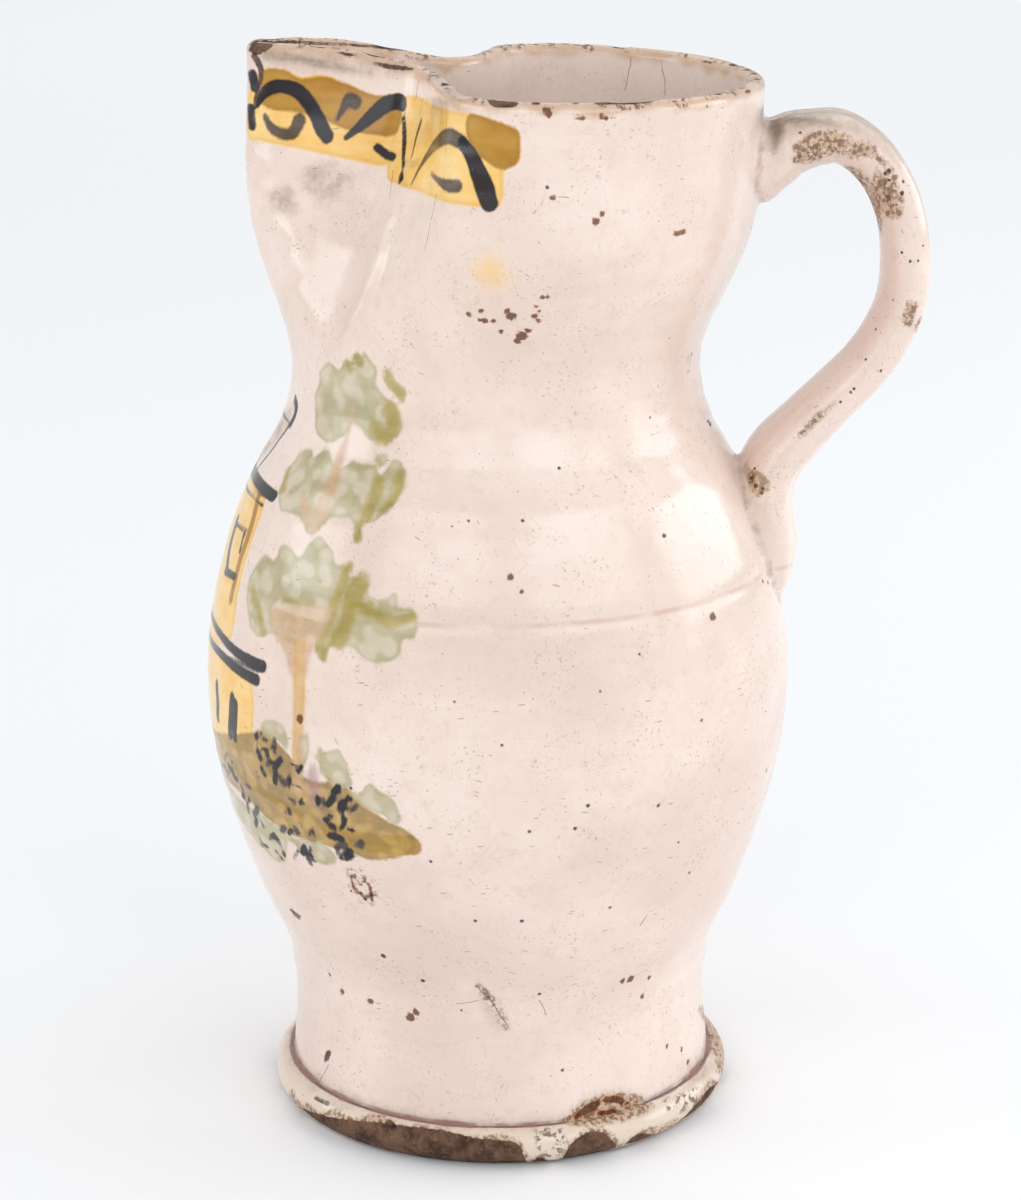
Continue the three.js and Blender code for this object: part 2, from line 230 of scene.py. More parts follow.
# What part of the jug a point belongs to
OUTSIDE, INSIDE, SOLE, HANDLE = 0, 1, 2, 3

# The body's profile between its named sizes: (share of the way up, share of the way out or in)
ANKLE_TO_BELLY = [(0.14, 0.07), (0.34, 0.4), (0.53, 0.66), (0.73, 0.88), (0.92, 0.99)]
BELLY_TO_WAIST = [(0.12, 0.014), (0.32, 0.13), (0.52, 0.325), (0.69, 0.58), (0.84, 0.87)]
WAIST_TO_NECK = [(0.155, 0.055), (0.36, 0.3), (0.57, 0.63), (0.78, 0.89)]


def lerp(a, b, share):
    return a + (b - a) * share


def smoothstep(value, low, high):
    t = np.clip((value - low) / (high - low), 0, 1)
    return t * t * (3 - 2 * t)


def stations_between(low, high, shares):
    return [(lerp(low[0], high[0], up), lerp(low[1], high[1], change)) for up, change in shares]


ANKLE = (ANKLE_HEIGHT, ANKLE_RADIUS)
BELLY = (BELLY_HEIGHT, BELLY_RADIUS)
WAIST = (WAIST_HEIGHT, WAIST_RADIUS)
NECK = (NECK_HEIGHT, NECK_RADIUS)
BODY_STATIONS = [
    (FOOT_HEIGHT, FOOT_STEP_RADIUS),
    ANKLE,
    *stations_between(ANKLE, BELLY, ANKLE_TO_BELLY),
    BELLY,
    *stations_between(BELLY, WAIST, BELLY_TO_WAIST),
    WAIST,
    *stations_between(WAIST, NECK, WAIST_TO_NECK),
    NECK,
    (RIM_HEIGHT, RIM_RADIUS),
]


def smooth_through(stations, position):
    """A smooth curve through (position, value) stations, with slopes from the neighbours."""
    x, y = np.array(stations, float).T
    rise = np.diff(y) / np.diff(x)
    before, after = np.diff(x)[:-1], np.diff(x)[1:]
    slope = np.r_[rise[0], (rise[:-1] * after + rise[1:] * before) / (before + after), rise[-1]]
    at = np.clip(position, x[0], x[-1])
    i = np.clip(np.searchsorted(x, at) - 1, 0, len(x) - 2)
    span = x[i + 1] - x[i]
    t = (at - x[i]) / span
    t2, t3 = t * t, t * t * t
    return (
        y[i] * (2 * t3 - 3 * t2 + 1)
        + y[i + 1] * (3 * t2 - 2 * t3)
        + slope[i] * span * (t3 - 2 * t2 + t)
        + slope[i + 1] * span * (t3 - t2)
    )


def thrown_radius(height):
    return smooth_through(BODY_STATIONS, height)


# The thrown wall's length up its own profile, for sizes measured on the surface
PROFILE_HEIGHTS = np.linspace(FOOT_HEIGHT, RIM_HEIGHT, PROFILE_STEPS)
PROFILE_LENGTHS = np.r_[
    0, np.cumsum(np.hypot(np.diff(PROFILE_HEIGHTS), np.diff(thrown_radius(PROFILE_HEIGHTS))))
]


def profile_length(height):
    return np.interp(height, PROFILE_HEIGHTS, PROFILE_LENGTHS)


def curve_through(points, closed, steps):
    """A centripetal curve through points, as a dense row of points."""
    p = np.array(points, float)
    last = len(p) if closed else len(p) - 1
    out = []
    for i in range(last):
        if closed:
            a, b, c, d = (p[(i + k) % len(p)] for k in (-1, 0, 1, 2))
        else:
            b, c = p[i], p[i + 1]
            a = p[i - 1] if i else 2 * b - c
            d = p[i + 2] if i + 2 < len(p) else 2 * c - b
        gap = [max(math.sqrt(np.linalg.norm(v)), LEAST_GAP) for v in (b - a, c - b, d - c)]
        leave = ((b - a) / gap[0] - (c - a) / (gap[0] + gap[1]) + (c - b) / gap[1]) * gap[1]
        arrive = ((c - b) / gap[1] - (d - b) / (gap[1] + gap[2]) + (d - c) / gap[2]) * gap[1]
        for t in np.arange(steps) / steps:
            cubic = 2 * b - 2 * c + leave + arrive
            square = -3 * b + 3 * c - 2 * leave - arrive
            out.append(b + leave * t + square * t * t + cubic * t**3)
    if not closed:
        out.append(p[-1])
    return np.array(out)


def mouth_points():
    half = MOUTH_WIDTH / 2

    def rounded(share, across):
        return (MOUTH_CENTRE + (RIM_RADIUS - MOUTH_CENTRE) * share, half * across)

    throat = -THROAT_REACH
    drawn_in = [
        ((MOUTH_CENTRE + throat) / 2, half * DRAWING_IN_WIDTH),
        (throat * SHOULDER_REACH, half * SHOULDER_WIDTH),
        (throat * THROAT_START, THROAT_WIDTH * THROAT_START_WIDTH),
        (throat, THROAT_WIDTH / 2),
        (-(THROAT_REACH + SPOUT_REACH) / 2, CHANNEL_WIDTH / 2),
    ]
    nose_start = -SPOUT_REACH + SPOUT_NOSE_WIDTH * NOSE_START
    nose_corner = -SPOUT_REACH + NOSE_CORNER_SETBACK

    def side(sign, shift):
        dx, dy = shift
        shifted = [
            (x + dx * ahead, sign * y + dy * aside)
            for (x, y), (ahead, aside) in zip(drawn_in, SHIFT_TAKEN)
        ]
        return [
            *(rounded(share, sign * across) for share, across in ROUND_MOUTH),
            *shifted,
            (nose_start, sign * (CHANNEL_WIDTH + SPOUT_NOSE_WIDTH) / 4),
            (nose_corner, sign * SPOUT_NOSE_WIDTH * NOSE_CORNER_WIDTH),
        ]

    far = side(1, FAR_THROAT_SHIFT)
    near = side(-1, NEAR_THROAT_SHIFT)
    return [(RIM_RADIUS, 0), *far, (-SPOUT_REACH, 0), *reversed(near)]


def mouth_table():
    """The mouth's outline by share of its length, with the nose at half way."""
    points = mouth_points()
    line = curve_through(points, True, MOUTH_STEPS)
    line = np.vstack([line, line[:1]])
    length = np.r_[0, np.cumsum(np.hypot(*np.diff(line, axis=0).T))]
    nose = MOUTH_STEPS * points.index((-SPOUT_REACH, 0))
    share = np.interp(length, [0, length[nose], length[-1]], [0, 0.5, 1])
    return share, line


MOUTH_SHARE, MOUTH_LINE = mouth_table()


def mouth_at(angle):
    share = np.mod(angle / (2 * math.pi), 1)
    return np.stack([np.interp(share, MOUTH_SHARE, MOUTH_LINE[:, k]) for k in (0, 1)], -1)


def outer_point(angle, height):
    radius = thrown_radius(height)
    circle = np.stack([radius * np.cos(angle), radius * np.sin(angle)], -1)
    pinch = smoothstep(height, PINCH_START, RIM_HEIGHT) ** PINCH_SHARPNESS
    return lerp(circle, mouth_at(angle), pinch[..., None])


def rim_lift(angle):
    towards_spout = -np.cos(angle)
    return RIM_TILT * towards_spout + SPOUT_RISE * smoothstep(towards_spout, SPOUT_RISE_START, 1)


def wall_point(angle, height, depth):
    angle, height, depth = np.broadcast_arrays(angle, height, depth)
    before, after = outer_point(angle - FACING_STEP, height), outer_point(angle + FACING_STEP, height)
    inward = np.stack([before[..., 1] - after[..., 1], after[..., 0] - before[..., 0]], -1)
    inward /= np.linalg.norm(inward, axis=-1, keepdims=True)
    place = outer_point(angle, height) + inward * depth[..., None]
    z = height + rim_lift(angle) * smoothstep(height, PINCH_START, RIM_HEIGHT)
    return np.concatenate([place, z[..., None]], -1)


def crowded(high, shares, crowds):
    """Places from 0 to high for even shares, closer together round each (place, reach, extra)."""
    fine = np.linspace(0, high, CROWD_STEPS)
    crowd = np.ones(len(fine))
    for place, reach, extra in crowds:
        crowd += extra * np.exp(-(((fine - place) / reach) ** 2))
    total = np.r_[0, np.cumsum((crowd[1:] + crowd[:-1]) / 2)]
    return np.interp(shares, total / total[-1], fine)


def side_angles(count):
    """Angles round the jug, closer together on the painted side and at the spout."""
    return crowded(2 * math.pi, np.arange(count) / count, SIDE_CROWDS)


def wall_heights(high):
    """Heights up the outside wall, closer together at the foot, the tree and the painted band."""
    crowds = [(profile_length(height), reach, extra) for height, reach, extra in WALL_CROWDS]
    lengths = crowded(profile_length(high), np.linspace(0, 1, OUTER_RINGS), crowds)
    return np.interp(lengths, PROFILE_LENGTHS, PROFILE_HEIGHTS)


def body_rings():
    """Rows of (part, height or radius, depth or height) from the sole up, over and down inside."""
    rings = [("round", SOLE, r * FOOT_SOLE_RADIUS, 0.0) for r in SOLE_RINGS]
    middle = FOOT_HEIGHT * FOOT_EDGE_MIDDLE
    bulge = FOOT_RADIUS - FOOT_SOLE_RADIUS
    for turn in np.linspace(FOOT_EDGE_START, FOOT_EDGE_END, FOOT_EDGE_RINGS) * math.pi:
        radius = FOOT_SOLE_RADIUS + bulge * math.cos(turn)
        rings.append(("round", OUTSIDE, radius, middle * (1 + FOOT_EDGE_ROUNDING * math.sin(turn))))
    rim_low = RIM_HEIGHT - RIM_WALL / 2
    for height in wall_heights(rim_low):
        rings.append(("wall", OUTSIDE, height, 0.0))
    for i in range(1, RIM_RINGS + 1):
        turn = i / (RIM_RINGS + 1) * math.pi
        height = RIM_HEIGHT - RIM_WALL / 2 * (1 - math.sin(turn))
        rings.append(("wall", OUTSIDE, height, RIM_WALL / 2 * (1 - math.cos(turn))))
    corner_top = FLOOR_THICKNESS + FLOOR_CORNER_RADIUS
    for i, height in enumerate(np.linspace(rim_low, corner_top, INNER_RINGS)):
        depth = lerp(RIM_WALL, WALL, min(1, i / INNER_RINGS / FULL_WALL_BY))
        rings.append(("wall", INSIDE, height, depth))
    inner = thrown_radius(corner_top) - WALL
    for i in range(1, FLOOR_CORNER_RINGS + 1):
        turn = i / FLOOR_CORNER_RINGS * math.pi / 2
        radius = inner - FLOOR_CORNER_RADIUS * (1 - math.cos(turn))
        rings.append(("round", INSIDE, radius, corner_top - FLOOR_CORNER_RADIUS * math.sin(turn)))
    for share in FLOOR_RINGS:
        radius = (inner - FLOOR_CORNER_RADIUS) * share
        rings.append(("round", INSIDE, radius, FLOOR_THICKNESS))
    return rings


def closed_skin(points, first_centre, last_centre):
    """Vertices and faces of a closed skin over a grid of points (rings x sides)."""
    rings, sides = points.shape[:2]
    r, s = np.meshgrid(np.arange(rings - 1), np.arange(sides), indexing="ij")
    nxt = (s + 1) % sides
    quads = np.stack([r * sides + s, r * sides + nxt, (r + 1) * sides + nxt, (r + 1) * sides + s], -1)
    vertices = np.vstack([points.reshape(-1, 3), first_centre, last_centre])
    first = rings * sides
    around = np.arange(sides)
    after = (around + 1) % sides
    top = (rings - 1) * sides
    faces = quads.reshape(-1, 4).tolist()
    faces += np.stack([np.full(sides, first), after, around], -1).tolist()
    faces += np.stack([np.full(sides, first + 1), top + around, top + after], -1).tolist()
    return vertices, faces


def grid_normals(points):
    """Outward normals of a grid of rings whose sides run on round and join up."""
    along = np.roll(points, -1, 1) - np.roll(points, 1, 1)
    up = np.gradient(points, axis=0)
    normal = np.cross(along, up)
    return normal / np.maximum(np.linalg.norm(normal, axis=-1, keepdims=True), TINY)


def body_skin():
    """The body's vertices and faces, with each vertex's angle, height and part of the jug."""
    angles = side_angles(SIDES)
    rings = body_rings()
    points = np.empty((len(rings), SIDES, 3))
    heights = np.empty((len(rings), SIDES))
    parts = np.empty((len(rings), SIDES), int)
    for i, (kind, part, first, second) in enumerate(rings):
        parts[i] = part
        if kind == "round":
            points[i] = np.stack([first * np.cos(angles), first * np.sin(angles), angles * 0 + second], -1)
            heights[i] = second
        else:
            points[i] = wall_point(angles, first, second)
            heights[i] = first
    vertices, faces = closed_skin(points, (0, 0, 0), (0, 0, FLOOR_THICKNESS))
    angle = np.r_[np.tile(angles, len(rings)), 0, 0]
    height = np.r_[heights.ravel(), 0, FLOOR_THICKNESS]
    part = np.r_[parts.ravel(), SOLE, INSIDE]
    normals = np.vstack([grid_normals(points).reshape(-1, 3), (0, 0, -1), (0, 0, 1)])
    return vertices, faces, normals, angle, height, part


def handle_stations():
    """Points down the strap's centre line, each with the strap's thickness and width there."""
    upper_wall = thrown_radius(HANDLE_UPPER_JOINT)
    lower_wall = thrown_radius(HANDLE_LOWER_JOINT)
    flare = UPPER_JOINT_THICKNESS / STRAP_THICKNESS
    spread = LOWER_JOINT_WIDTH / STRAP_WIDTH
    stations = [(upper_wall - WALL * UPPER_JOINT_DEPTH, HANDLE_UPPER_JOINT, flare, UPPER_JOINT_SPREAD)]
    for stretch, start, end, low, high in (
        (HANDLE_CLIMB, upper_wall, HANDLE_REACH, HANDLE_UPPER_JOINT, HANDLE_TOP),
        (HANDLE_FALL, upper_wall, HANDLE_REACH, HANDLE_TOP, HANDLE_GRIP_HEIGHT),
        (HANDLE_RETURN, HANDLE_REACH, lower_wall, HANDLE_GRIP_HEIGHT, HANDLE_LOWER_JOINT),
    ):
        for out, up, thick, wide in stretch:
            stations.append((lerp(start, end, out), lerp(low, high, up), thick, wide))
    for share, off, thick, wide in HANDLE_TAIL:
        height = HANDLE_LOWER_JOINT - HANDLE_TAIL_LENGTH * share
        stations.append((thrown_radius(height) + off, height, thick, spread * wide))
    return stations


def handle_skin():
    """The handle's vertices and faces, with each vertex's share along it and turn round it."""
    stations = np.array(handle_stations(), float)
    line = curve_through(stations[:, :2], False, HANDLE_CURVE_STEPS)
    place = np.linspace(0, len(stations) - 1, HANDLE_STEPS + 1)
    dense = np.linspace(0, len(stations) - 1, len(line))
    middle = np.stack([np.interp(place, dense, line[:, k]) for k in (0, 1)], -1)
    slope = np.gradient(line, axis=0)
    along = np.stack([np.interp(place, dense, slope[:, k]) for k in (0, 1)], -1)
    along /= np.linalg.norm(along, axis=1, keepdims=True)
    thick, wide = (
        np.interp(place, np.arange(len(stations)), stations[:, k])[:, None] for k in (2, 3)
    )
    turn = (np.arange(STRAP_SIDES) / STRAP_SIDES * 2 * math.pi)[None, :]
    half_width = STRAP_WIDTH * wide / 2
    across = half_width * np.sin(turn)
    squared = np.sign(np.cos(turn)) * np.abs(np.cos(turn)) ** STRAP_SQUARENESS
    dished = np.maximum(0, 1 - (GROOVE_NARROWING * across / half_width) ** 2) ** 2
    groove = np.where(np.cos(turn) > 0, dished, 0)
    out = STRAP_THICKNESS * thick / 2 * squared - STRAP_GROOVE * groove
    points = np.empty((HANDLE_STEPS + 1, STRAP_SIDES, 3))
    points[..., 0] = middle[:, :1] - along[:, 1:] * out
    points[..., 1] = -across
    points[..., 2] = middle[:, 1:] + along[:, :1] * out
    vertices, faces = closed_skin(points, points[0].mean(0), points[-1].mean(0))
    share = np.r_[np.repeat(place / place[-1], STRAP_SIDES), 0, 1]
    around = np.r_[np.tile(turn[0], HANDLE_STEPS + 1), 0, 0]
    normals = np.vstack([grid_normals(points).reshape(-1, 3), (-1, 0, 0), (0, 0, -1)])
    return vertices, faces, normals, share, around


def core_skin():
    """What lies deeper than the handle's bedding, which the handle is cut off at."""
    angles = side_angles(CORE_SIDES)
    heights = np.linspace(BELLY_HEIGHT, RIM_HEIGHT, CORE_RINGS)
    points = np.array([wall_point(angles, h, HANDLE_BEDDING) for h in heights])
    return closed_skin(points, (0, 0, BELLY_HEIGHT), (MOUTH_CENTRE, 0, RIM_HEIGHT))


# The photograph's frame and the viewpoint fitted to it
PHOTO_WIDTH, PHOTO_HEIGHT = 1021, 1200
FOCAL_PIXELS = 3141.0
PHOTO_CENTRE = (497.3, 595.5)
CAMERA_DISTANCE = 727.9
CAMERA_HEIGHT = 326.1
CAMERA_DOWN = math.radians(15.48)
CAMERA_ROLL = math.radians(0.42)
CAMERA_TURN = math.radians(3)

# How far past edge-on a face may be turned and still count as seen
EDGE_ON = 0.02


def photo_place(points):
    """Where points in millimetres are seen in the photograph's frame, and how far off they are."""
    turned_x = points[..., 0] * math.cos(CAMERA_TURN) + points[..., 1] * math.sin(CAMERA_TURN)
    turned_y = points[..., 1] * math.cos(CAMERA_TURN) - points[..., 0] * math.sin(CAMERA_TURN)
    forward = turned_y + CAMERA_DISTANCE
    up = points[..., 2] - CAMERA_HEIGHT
    depth = forward * math.cos(CAMERA_DOWN) - up * math.sin(CAMERA_DOWN)
    right = FOCAL_PIXELS * turned_x / depth
    rise = FOCAL_PIXELS * (forward * math.sin(CAMERA_DOWN) + up * math.cos(CAMERA_DOWN)) / depth
    across = PHOTO_CENTRE[0] + right * math.cos(CAMERA_ROLL) - rise * math.sin(CAMERA_ROLL)
    down = PHOTO_CENTRE[1] - right * math.sin(CAMERA_ROLL) - rise * math.cos(CAMERA_ROLL)
    return np.stack([across, down], -1), depth


def facing_camera(points, normals):
    eye = np.array([
        CAMERA_DISTANCE * math.sin(CAMERA_TURN),
        -CAMERA_DISTANCE * math.cos(CAMERA_TURN),
        CAMERA_HEIGHT,
    ])
    sight = points - eye
    return (sight * normals).sum(-1) / np.linalg.norm(sight, axis=-1) < EDGE_ON


def mesh_object(name, vertices, faces):
    mesh = bpy.data.meshes.new(name)
    mesh.from_pydata((np.asarray(vertices) * UNIT).tolist(), [], faces)
    mesh.update()
    obj = bpy.data.objects.new(name, mesh)
    bpy.context.scene.collection.objects.link(obj)
    return obj


def combine(obj, other, operation):
    """Joins or cuts obj by other, with the result kept as obj's own mesh."""
    modifier = obj.modifiers.new("combine", "BOOLEAN")
    modifier.operation = operation
    modifier.solver = "MANIFOLD"
    modifier.object = other
    graph = bpy.context.evaluated_depsgraph_get()
    made = bpy.data.meshes.new_from_object(obj.evaluated_get(graph))
    obj.modifiers.clear()
    obj.data = made
    bpy.data.objects.remove(other)


def read_points(mesh):
    points = np.empty(len(mesh.vertices) * 3)
    mesh.vertices.foreach_get("co", points)
    return points.reshape(-1, 3)


# What is painted, worn or stained, and where shade is painted on. Each field holds how deep a
# point lies inside the marks of one kind, in millimetres, and is negative outside them.
FIELDS = (
    "yellow", "ochre", "earth", "tan", "green", "olive", "purple", "slate", "navy",
    "umber", "bare", "pitted", "worn", "rust", "ore", "grime_and_shade", "soot_and_shade", "seam",
)
SHAPE_FIELDS = ("fold", "hollow")
FAR_OUTSIDE = -6.0

# How far from a pixel, and how far behind the nearest point there, the point that it shows may lie
SEEN_REACH = 8.0

# The part of the wall that pixels are looked up on
SEEN_ANGLES = np.radians(np.arange(150, 400, 0.25))
SEEN_HEIGHTS = np.arange(FOOT_HEIGHT, RIM_HEIGHT, 0.4)

# How many pixels off the jug's left edge a point counts as past it, and where it then goes
EDGE_PIXELS = 4.0
PAST_THE_SPOUT = math.radians(177)


class Skin:
    """The points of the whole jug before its handle is joined on, with their marks."""

    def __init__(self, points, normals, angle, height, part):
        self.points = points
        self.normals = normals
        self.angle = angle
        self.height = height
        self.part = part
        self.seen_at, self.seen_depth = photo_place(points)
        self.facing = facing_camera(points, normals)
        self.fields = {name: np.full(len(points), FAR_OUTSIDE) for name in FIELDS + SHAPE_FIELDS}
        angles, heights = np.meshgrid(SEEN_ANGLES, SEEN_HEIGHTS)
        wall = wall_point(angles, heights, 0.0)
        towards = facing_camera(wall, grid_normals(wall))
        self.wall_seen = photo_place(wall)[0][towards]
        self.wall_angle = angles[towards]
        self.wall_height = heights[towards]

    def mark(self, name, where, depth):
        field = self.fields[name]
        field[where] = np.maximum(field[where], depth)

    def seen_point(self, pixel, part=None):
        """The number of the point that a pixel of the photograph shows."""
        gap = np.linalg.norm(self.seen_at - np.asarray(pixel, float), axis=1)
        gap[~self.facing] = np.inf
        if part is not None:
            gap[self.part != part] = np.inf
        close = np.nonzero(gap <= max(gap.min(), SEEN_REACH))[0]
        depth = self.seen_depth[close]
        front = close[depth < depth.min() + SEEN_REACH]
        return front[np.argmin(gap[front])]

    def wall_spots(self, pixels):
        """The angle and height on the outside wall that each pixel of the photograph shows. What
        runs off the jug's left edge goes on round it, just past the spout's own line."""
        found = []
        for pixel in np.asarray(pixels, float):
            gap = np.linalg.norm(self.wall_seen - pixel, axis=-1)
            nearest = int(np.argmin(gap))
            off_the_edge = gap[nearest] > EDGE_PIXELS and pixel[0] < PHOTO_CENTRE[0]
            angle = PAST_THE_SPOUT if off_the_edge else self.wall_angle[nearest]
            found.append((angle, self.wall_height[nearest]))
        return np.array(found)


def stroke_depth(places, line, widths):
    """How deep places lie inside a stroke of the given half widths along its line."""
    best = np.full(len(places), -np.inf)
    for start, end, first, last in zip(line[:-1], line[1:], widths[:-1], widths[1:]):
        along = end - start
        share = np.clip((places - start) @ along / max(along @ along, TINY), 0, 1)
        gap = np.linalg.norm(places - start - share[:, None] * along, axis=1)
        best = np.maximum(best, lerp(first, last, share) - gap)
    return best


def patch_depth(places, outline):
    """How deep places lie inside a closed outline."""
    ends = np.roll(outline, -1, axis=0)
    gap = -stroke_depth(places, np.vstack([outline, outline[:1]]), np.zeros(len(outline) + 1))
    inside = np.zeros(len(places), bool)
    for (x0, y0), (x1, y1) in zip(outline, ends):
        between = (places[:, 1] < y0) != (places[:, 1] < y1)
        with np.errstate(divide="ignore", invalid="ignore"):
            cross = x0 + (places[:, 1] - y0) * (x1 - x0) / (y1 - y0)
        inside ^= between & (places[:, 0] < cross)
    return np.where(inside, gap, -gap)


def unroll(angle, height, middle):
    """Places on the wall as millimetres round it from a middle angle, and up its profile."""
    turn = np.mod(angle - middle + math.pi, 2 * math.pi) - math.pi
    return np.stack([turn * thrown_radius(height), profile_length(height)], -1)


def brush_line(flat, widths):
    """A stroke's or patch's line made smooth, with the half width at each of its points."""
    closed = widths is None
    line = flat if len(flat) < 3 else curve_through(flat, closed, CURVE_STEPS)
    if closed:
        return line, None
    places = np.linspace(0, len(flat) - 1, len(line))
    return line, np.interp(places, np.arange(len(flat)), np.broadcast_to(widths, len(flat)))


def mark_depth(places, line, widths):
    return patch_depth(places, line) if widths is None else stroke_depth(places, line, widths)


def paint_wall(skin, name, pixels, widths=None):
    """A brush stroke, or a closed wash if it has no widths, on the outside wall. The far side of
    the spout carries the same motif, turned about the spout's own line."""
    spots = skin.wall_spots(pixels)
    middle = spots[:, 0].mean()
    flat = unroll(spots[:, 0], spots[:, 1], middle)
    line, widths = brush_line(flat, widths)
    on_wall = (skin.part == OUTSIDE) & (skin.height >= FOOT_HEIGHT)
    low, high = line.min(0) + FAR_OUTSIDE, line.max(0) - FAR_OUTSIDE
    for angle in (skin.angle, 2 * math.pi - skin.angle):
        places = unroll(angle, skin.height, middle)
        near = np.nonzero(on_wall & (places > low).all(1) & (places < high).all(1))[0]
        skin.mark(name, near, mark_depth(places[near], line, widths))


# How many pixels a millimetre of the jug takes up, and how far back its marks go on a surface
PIXELS_PER_MM = 4.3
MARK_DEPTH = 14.0


def mark_seen(
    skin, name, pixels, widths=None, far_side=False, depth=MARK_DEPTH, faint=1.0, sunk=0.0
):
    """A mark on whatever faces the camera there, measured in the photograph's own plane."""
    line, widths = brush_line(np.asarray(pixels, float) / PIXELS_PER_MM, widths)
    places = skin.seen_at / PIXELS_PER_MM
    low, high = line.min(0) + FAR_OUTSIDE / 2, line.max(0) - FAR_OUTSIDE / 2
    shown = skin.facing & ((skin.points[:, 1] > 0) | (not far_side))
    near = np.nonzero(shown & (places > low).all(1) & (places < high).all(1))[0]
    if not len(near):
        return
    near = near[skin.seen_depth[near] < skin.seen_depth[near].min() + depth]
    skin.mark(name, near, mark_depth(places[near], line, widths) * faint - sunk)


# What is painted, worn or shaped, with the painted shade among it, as (field, pixels of the
# photograph, half widths in millimetres, or none for a closed patch)
# The band below the rim, with its arches
BAND = [
    ("yellow", [
        (247, 104), (262, 70), (285, 69), (300, 77), (325, 75), (345, 83), (370, 93), (403, 100),
        (396, 135), (388, 164), (350, 160), (300, 149), (262, 142), (247, 138),
    ], None),
    ("yellow", [
        (400, 98), (430, 104), (470, 114), (500, 122), (518, 131), (521, 146), (519, 164), (505, 170),
        (505, 190), (500, 207), (478, 208), (450, 203), (420, 193), (396, 185), (387, 177), (390, 140),
    ], None),
    ("ochre", [
        (262, 72), (285, 70), (300, 78), (325, 76), (345, 84), (370, 94), (400, 102), (396, 133),
        (365, 134), (345, 130), (322, 120), (300, 113), (262, 104),
    ], None),
    ("ochre", [
        (468, 114), (500, 122), (518, 131), (521, 146), (518, 163), (503, 169), (486, 160), (468, 140),
    ], None),
    ("navy", [
        (256, 105), (262, 95), (272, 88), (285, 86), (298, 91), (308, 102), (316, 115), (322, 127),
        (327, 137),
    ], [0.8, 1.3, 1.5, 1.5, 1.6, 1.6, 1.6, 1.7, 1.5]),
    ("slate", [(337, 120), (343, 108), (350, 99), (355, 103)], [0.5, 0.9, 1.6, 1.5]),
    ("navy", [
        (346, 138), (360, 126), (375, 112), (388, 103), (401, 101), (403, 106),
    ], [0.6, 1.2, 1.7, 1.8, 1.7, 1.2]),
    ("navy", [(377, 147), (386, 154), (393, 157)], 0.9),
    ("navy", [(403, 118), (404, 140), (403, 160), (403, 182)], [0.6, 0.8, 0.7, 0.9]),
    ("navy", [(421, 122), (416, 138), (411, 158)], [1.0, 0.8, 0.5]),
    ("slate", [
        (412, 183), (420, 168), (430, 152), (440, 141), (452, 137), (463, 142),
    ], [0.5, 0.8, 1.3, 1.7, 1.8, 1.7]),
    ("navy", [(463, 142), (472, 155), (479, 172), (486, 190), (490, 203)], [1.5, 1.8, 2.2, 2.4, 2.1]),
    ("slate", [(264, 117), (270, 127), (281, 134), (293, 133), (299, 122)], [0.7, 1.0, 1.2, 1.4, 1.7]),
    ("slate", [(432, 173), (440, 181), (450, 187), (459, 185)], [0.5, 0.8, 1.5, 1.4]),
]
# The dabs that end the band at the spout's nose
NOSE_DABS = [
    ("navy", [(252, 74), (255, 88)], 1.1),
    ("navy", [(250, 107), (252, 127)], 0.9),
]
